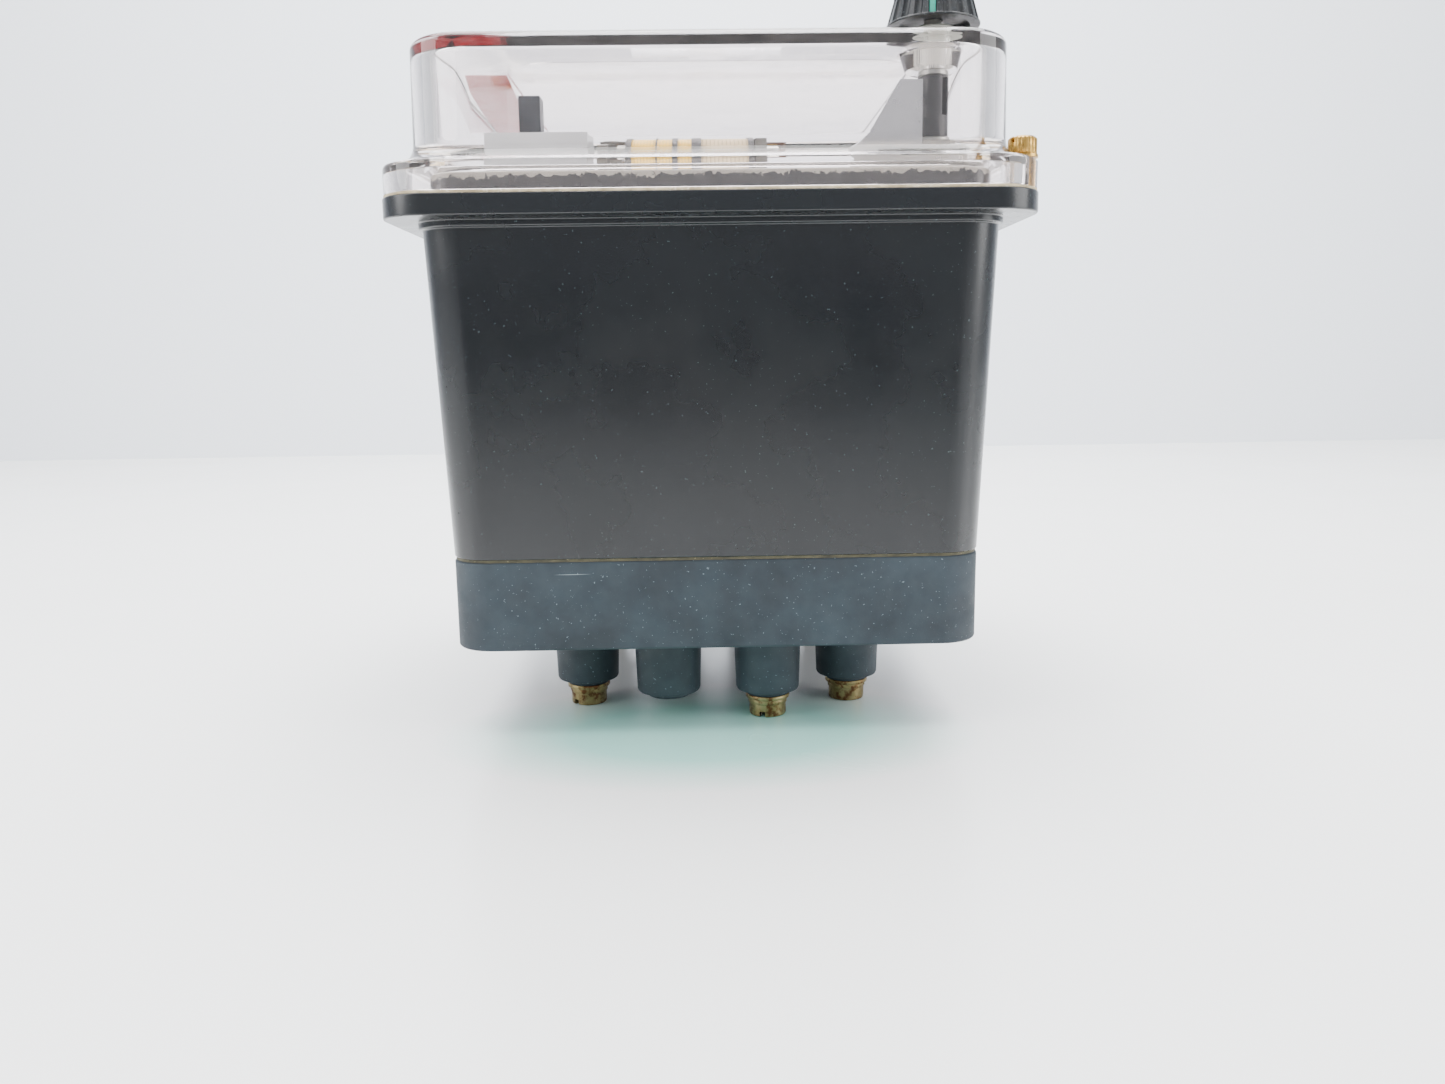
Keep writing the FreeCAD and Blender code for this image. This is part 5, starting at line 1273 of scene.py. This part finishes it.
@dataclass
class Studio:
    """Floor, wall, dark card, lamps and camera."""

    camera_place: Point = (-2.03, -236.28, 66.89)
    yaw: float = 0.016
    pitch: float = 0.165
    roll: float = -0.014
    focal_share: float = 1085.0
    wall_place: float = 0.594
    card_place: float = -0.5
    card_width: float = 0.62
    # Middle and half-size, mm, of the teal painted shadow and reflection on the board in front of the base.
    painted_shadow_middle: Ring = (-2.0, -46.0)
    painted_shadow_half: Ring = (46.0, 26.0)
    card_height: float = 0.078

    def build(self) -> None:
        """Make the floor, the lamps, the surroundings and the camera."""
        self.build_camera()
        self.build_floor()
        self.build_lamps()

    def build_camera(self) -> None:
        """Place the camera, looking slightly down at the relay's front."""
        data = bpy.data.cameras.new("camera")
        data.sensor_width = 36.0
        data.lens = 36.0 * self.focal_share / PICTURE_WIDTH
        camera = bpy.data.objects.new("camera", data)
        bpy.context.scene.collection.objects.link(camera)
        ahead = Vector((math.sin(self.yaw) * math.cos(self.pitch), math.cos(self.yaw) * math.cos(self.pitch),
                        -math.sin(self.pitch)))
        right = Vector((math.cos(self.yaw), -math.sin(self.yaw), 0))
        over = right.cross(ahead)
        leaned_right = math.cos(self.roll) * right + math.sin(self.roll) * over
        leaned_over = math.cos(self.roll) * over - math.sin(self.roll) * right
        turn = Matrix((leaned_right, leaned_over, -ahead)).transposed().to_4x4()
        camera.matrix_world = Matrix.Translation(Vector(self.camera_place) * MM) @ turn
        bpy.context.scene.camera = camera

    def build_floor(self) -> None:
        """Stand the relay on a pale glossy board in front of a wall, with a dark card behind the camera."""
        board = Finish("white_gloss_board", "#f3f3f1", "#eeeff0", mottle_mm=400, gloss=(0.22, 0.28),
                       gloss_mm=200,
                       grain_mm=5, grain_depth_mm=0.002)
        wall = Finish("pale_blue_wall", "#e6eaf0", "#e2e7ee", mottle_mm=400, gloss=(0.8, 0.9), gloss_mm=200,
                      grain_mm=2, grain_depth_mm=0.01)
        card = Finish("dark_card", "#0b0d0e", "#101214", mottle_mm=200, gloss=(0.9, 1.0), gloss_mm=200,
                      grain_mm=2, grain_depth_mm=0.01)
        # Paint a teal shadow and reflection onto the board in front of the base.
        self.paint_board_shadow(WARDROBE.material(board))
        self.sheet("studio_floor", board, 6.0, (0, self.wall_place - 3.0, 0), (0, 0, 0), (1, 1))
        self.sheet("studio_wall", wall, 6.0, (0, self.wall_place, 3.0), (math.pi / 2, 0, 0), (1, 1))
        self.sheet("dark_card", card, 1.0, (0, self.card_place, self.card_height / 2), (math.pi / 2, 0, 0),
                   (self.card_width, self.card_height))

    def paint_board_shadow(self, board: bpy.types.Material) -> None:
        """Paint a teal shadow and reflection onto the board, in the soft-edged patch where it mirrors the
        terminals.
        """
        tree = board.node_tree
        shader = next(node for node in tree.nodes if node.type == "BSDF_PRINCIPLED")
        place = add_node(tree, "ShaderNodeTexCoord").outputs["Object"]
        middle, half = self.painted_shadow_middle, self.painted_shadow_half
        scale = (1 / (half[0] * MM), 1 / (half[1] * MM), 0.0)
        shift = (-middle[0] / half[0], -middle[1] / half[1], 0.0)
        inside = add_node(tree, "ShaderNodeMapping", {"Vector": place, "Location": shift, "Scale": scale})
        reach = add_node(tree, "ShaderNodeVectorMath", {0: inside.outputs["Vector"]}, operation="LENGTH")
        share = add_ramp(tree, reach.outputs["Value"], (0.55, 1.1), (0.75, 0.0))
        plain = shader.inputs["Base Color"].links[0].from_socket
        # Painted shadow and reflection: the board's colour turns teal inside the patch.
        shadowed_colour = Finish.blend(tree, share, plain, linear("#7fd6c6"))
        tree.links.new(shadowed_colour, shader.inputs["Base Color"])

    @staticmethod
    def sheet(name: str, finish: Finish, size: float, place: Point, turn: Point, share: Ring) -> None:
        """Set up one flat sheet of the studio."""
        deselect_all()
        bpy.ops.mesh.primitive_plane_add(size=size, location=(0, 0, 0))
        piece = settle(bpy.context.object, name)
        piece.data.transform(Matrix.Diagonal((share[0], share[1], 1, 1)))
        piece.data.transform(Matrix.Translation(Vector(place)) @ Matrix.Rotation(turn[0], 4, "X"))
        piece.data.materials.append(WARDROBE.material(finish))

    def build_lamps(self) -> None:
        """Make large soft lamps and a pale sky."""
        lamps = (
            ("top_lamp", (0.0, 0.1, 0.75), (0, 0, 0.08), 0.9, 19.0),
            ("left_lamp", (-0.75, -0.3, 0.45), (0, 0, 0.06), 0.6, 6.0),
            ("right_lamp", (0.75, -0.3, 0.35), (0, 0, 0.06), 0.6, 5.0),
            ("wall_lamp", (0.0, 0.2, 0.9), (0, self.wall_place, 0.25), 0.6, 7.0),
        )
        for name, place, target, size, power in lamps:
            data = bpy.data.lights.new(name, "AREA")
            data.shape = "DISK"
            data.size = size
            data.energy = power
            lamp = bpy.data.objects.new(name, data)
            bpy.context.scene.collection.objects.link(lamp)
            lamp.location = place
            lamp.rotation_euler = (Vector(target) - Vector(place)).to_track_quat("-Z", "Y").to_euler()
        world = bpy.data.worlds.new("pale_sky")
        bpy.context.scene.world = world
        world.use_nodes = True
        background = world.node_tree.nodes["Background"]
        background.inputs["Color"].default_value = linear("#f1f4fa")
        background.inputs["Strength"].default_value = 1.02


NODE_FINISHES = {
    "case_inserts": TURNED_BRASS, "cover_inserts": TURNED_BRASS, "base_screws": ZINC_STEEL,
    "terminal_bushes": TURNED_BRASS, "terminal_tags": TURNED_BRASS, "terminal_nuts": TURNED_BRASS,
    "riser_wires": TINNED_COPPER, "chassis_plate": ZINC_STEEL, "chassis_screws": ZINC_STEEL,
    "feed_bushes": BROWN_LAMINATE, "yoke": SOFT_IRON, "yoke_screws": ZINC_STEEL,
    "armature_hinge_pin": ZINC_STEEL,
    "core": SOFT_IRON, "core_screw": ZINC_STEEL, "coil_bobbin": BLACK_MOULDING,
    "contact_block": BROWN_LAMINATE,
    "fixed_contacts": TURNED_BRASS, "contact_strip_screws": TURNED_BRASS, "contact_block_screws": ZINC_STEEL,
    "return_spring": ZINC_STEEL, "potentiometer_case": ZINC_STEEL, "resistance_track": TINNED_COPPER,
    "potentiometer_nut": ZINC_STEEL, "potentiometer_tags": TURNED_BRASS, "spindle_bracket": SHEET_ALUMINIUM,
    "bracket_screws": ZINC_STEEL, "switch_body": GREY_MOULDING, "switch_lid": GREY_MOULDING,
    "plunger_spring": ZINC_STEEL, "timing_capacitor": SHEET_ALUMINIUM, "capacitor_clamp": ZINC_STEEL,
    "clamp_screws": ZINC_STEEL, "cover_washers": TURNED_BRASS, "knob_grub_screw": ZINC_STEEL,
    "knob_shaft": ZINC_STEEL, "shaft_clip": ZINC_STEEL, "wiper": TURNED_BRASS, "setting_spindle": ZINC_STEEL,
    "spindle_coupling": BLACK_MOULDING, "armature": SOFT_IRON, "contact_carrier": BROWN_LAMINATE,
    "moving_contacts": TURNED_BRASS, "test_plunger": PLUNGER_MOULDING, "main_winding": YELLOW_TAPE,
    "holding_winding": BEIGE_TAPE,
}


def main() -> None:
    """Build the relay's pieces in order."""
    logging.basicConfig(level=logging.INFO, format="%(name)s: %(message)s")
    deselect_all()
    Studio().build()
    for part in (Case(), TerminalBase(), Terminals(), ClearCover(), CoverScrews(), Knob(), Label()):
        LOG.info("building %s", type(part).__name__)
        part.build()
    for node, finish in NODE_FINISHES.items():
        WARDROBE.dress_node(node, finish)


if __name__ == "__main__":
    main()
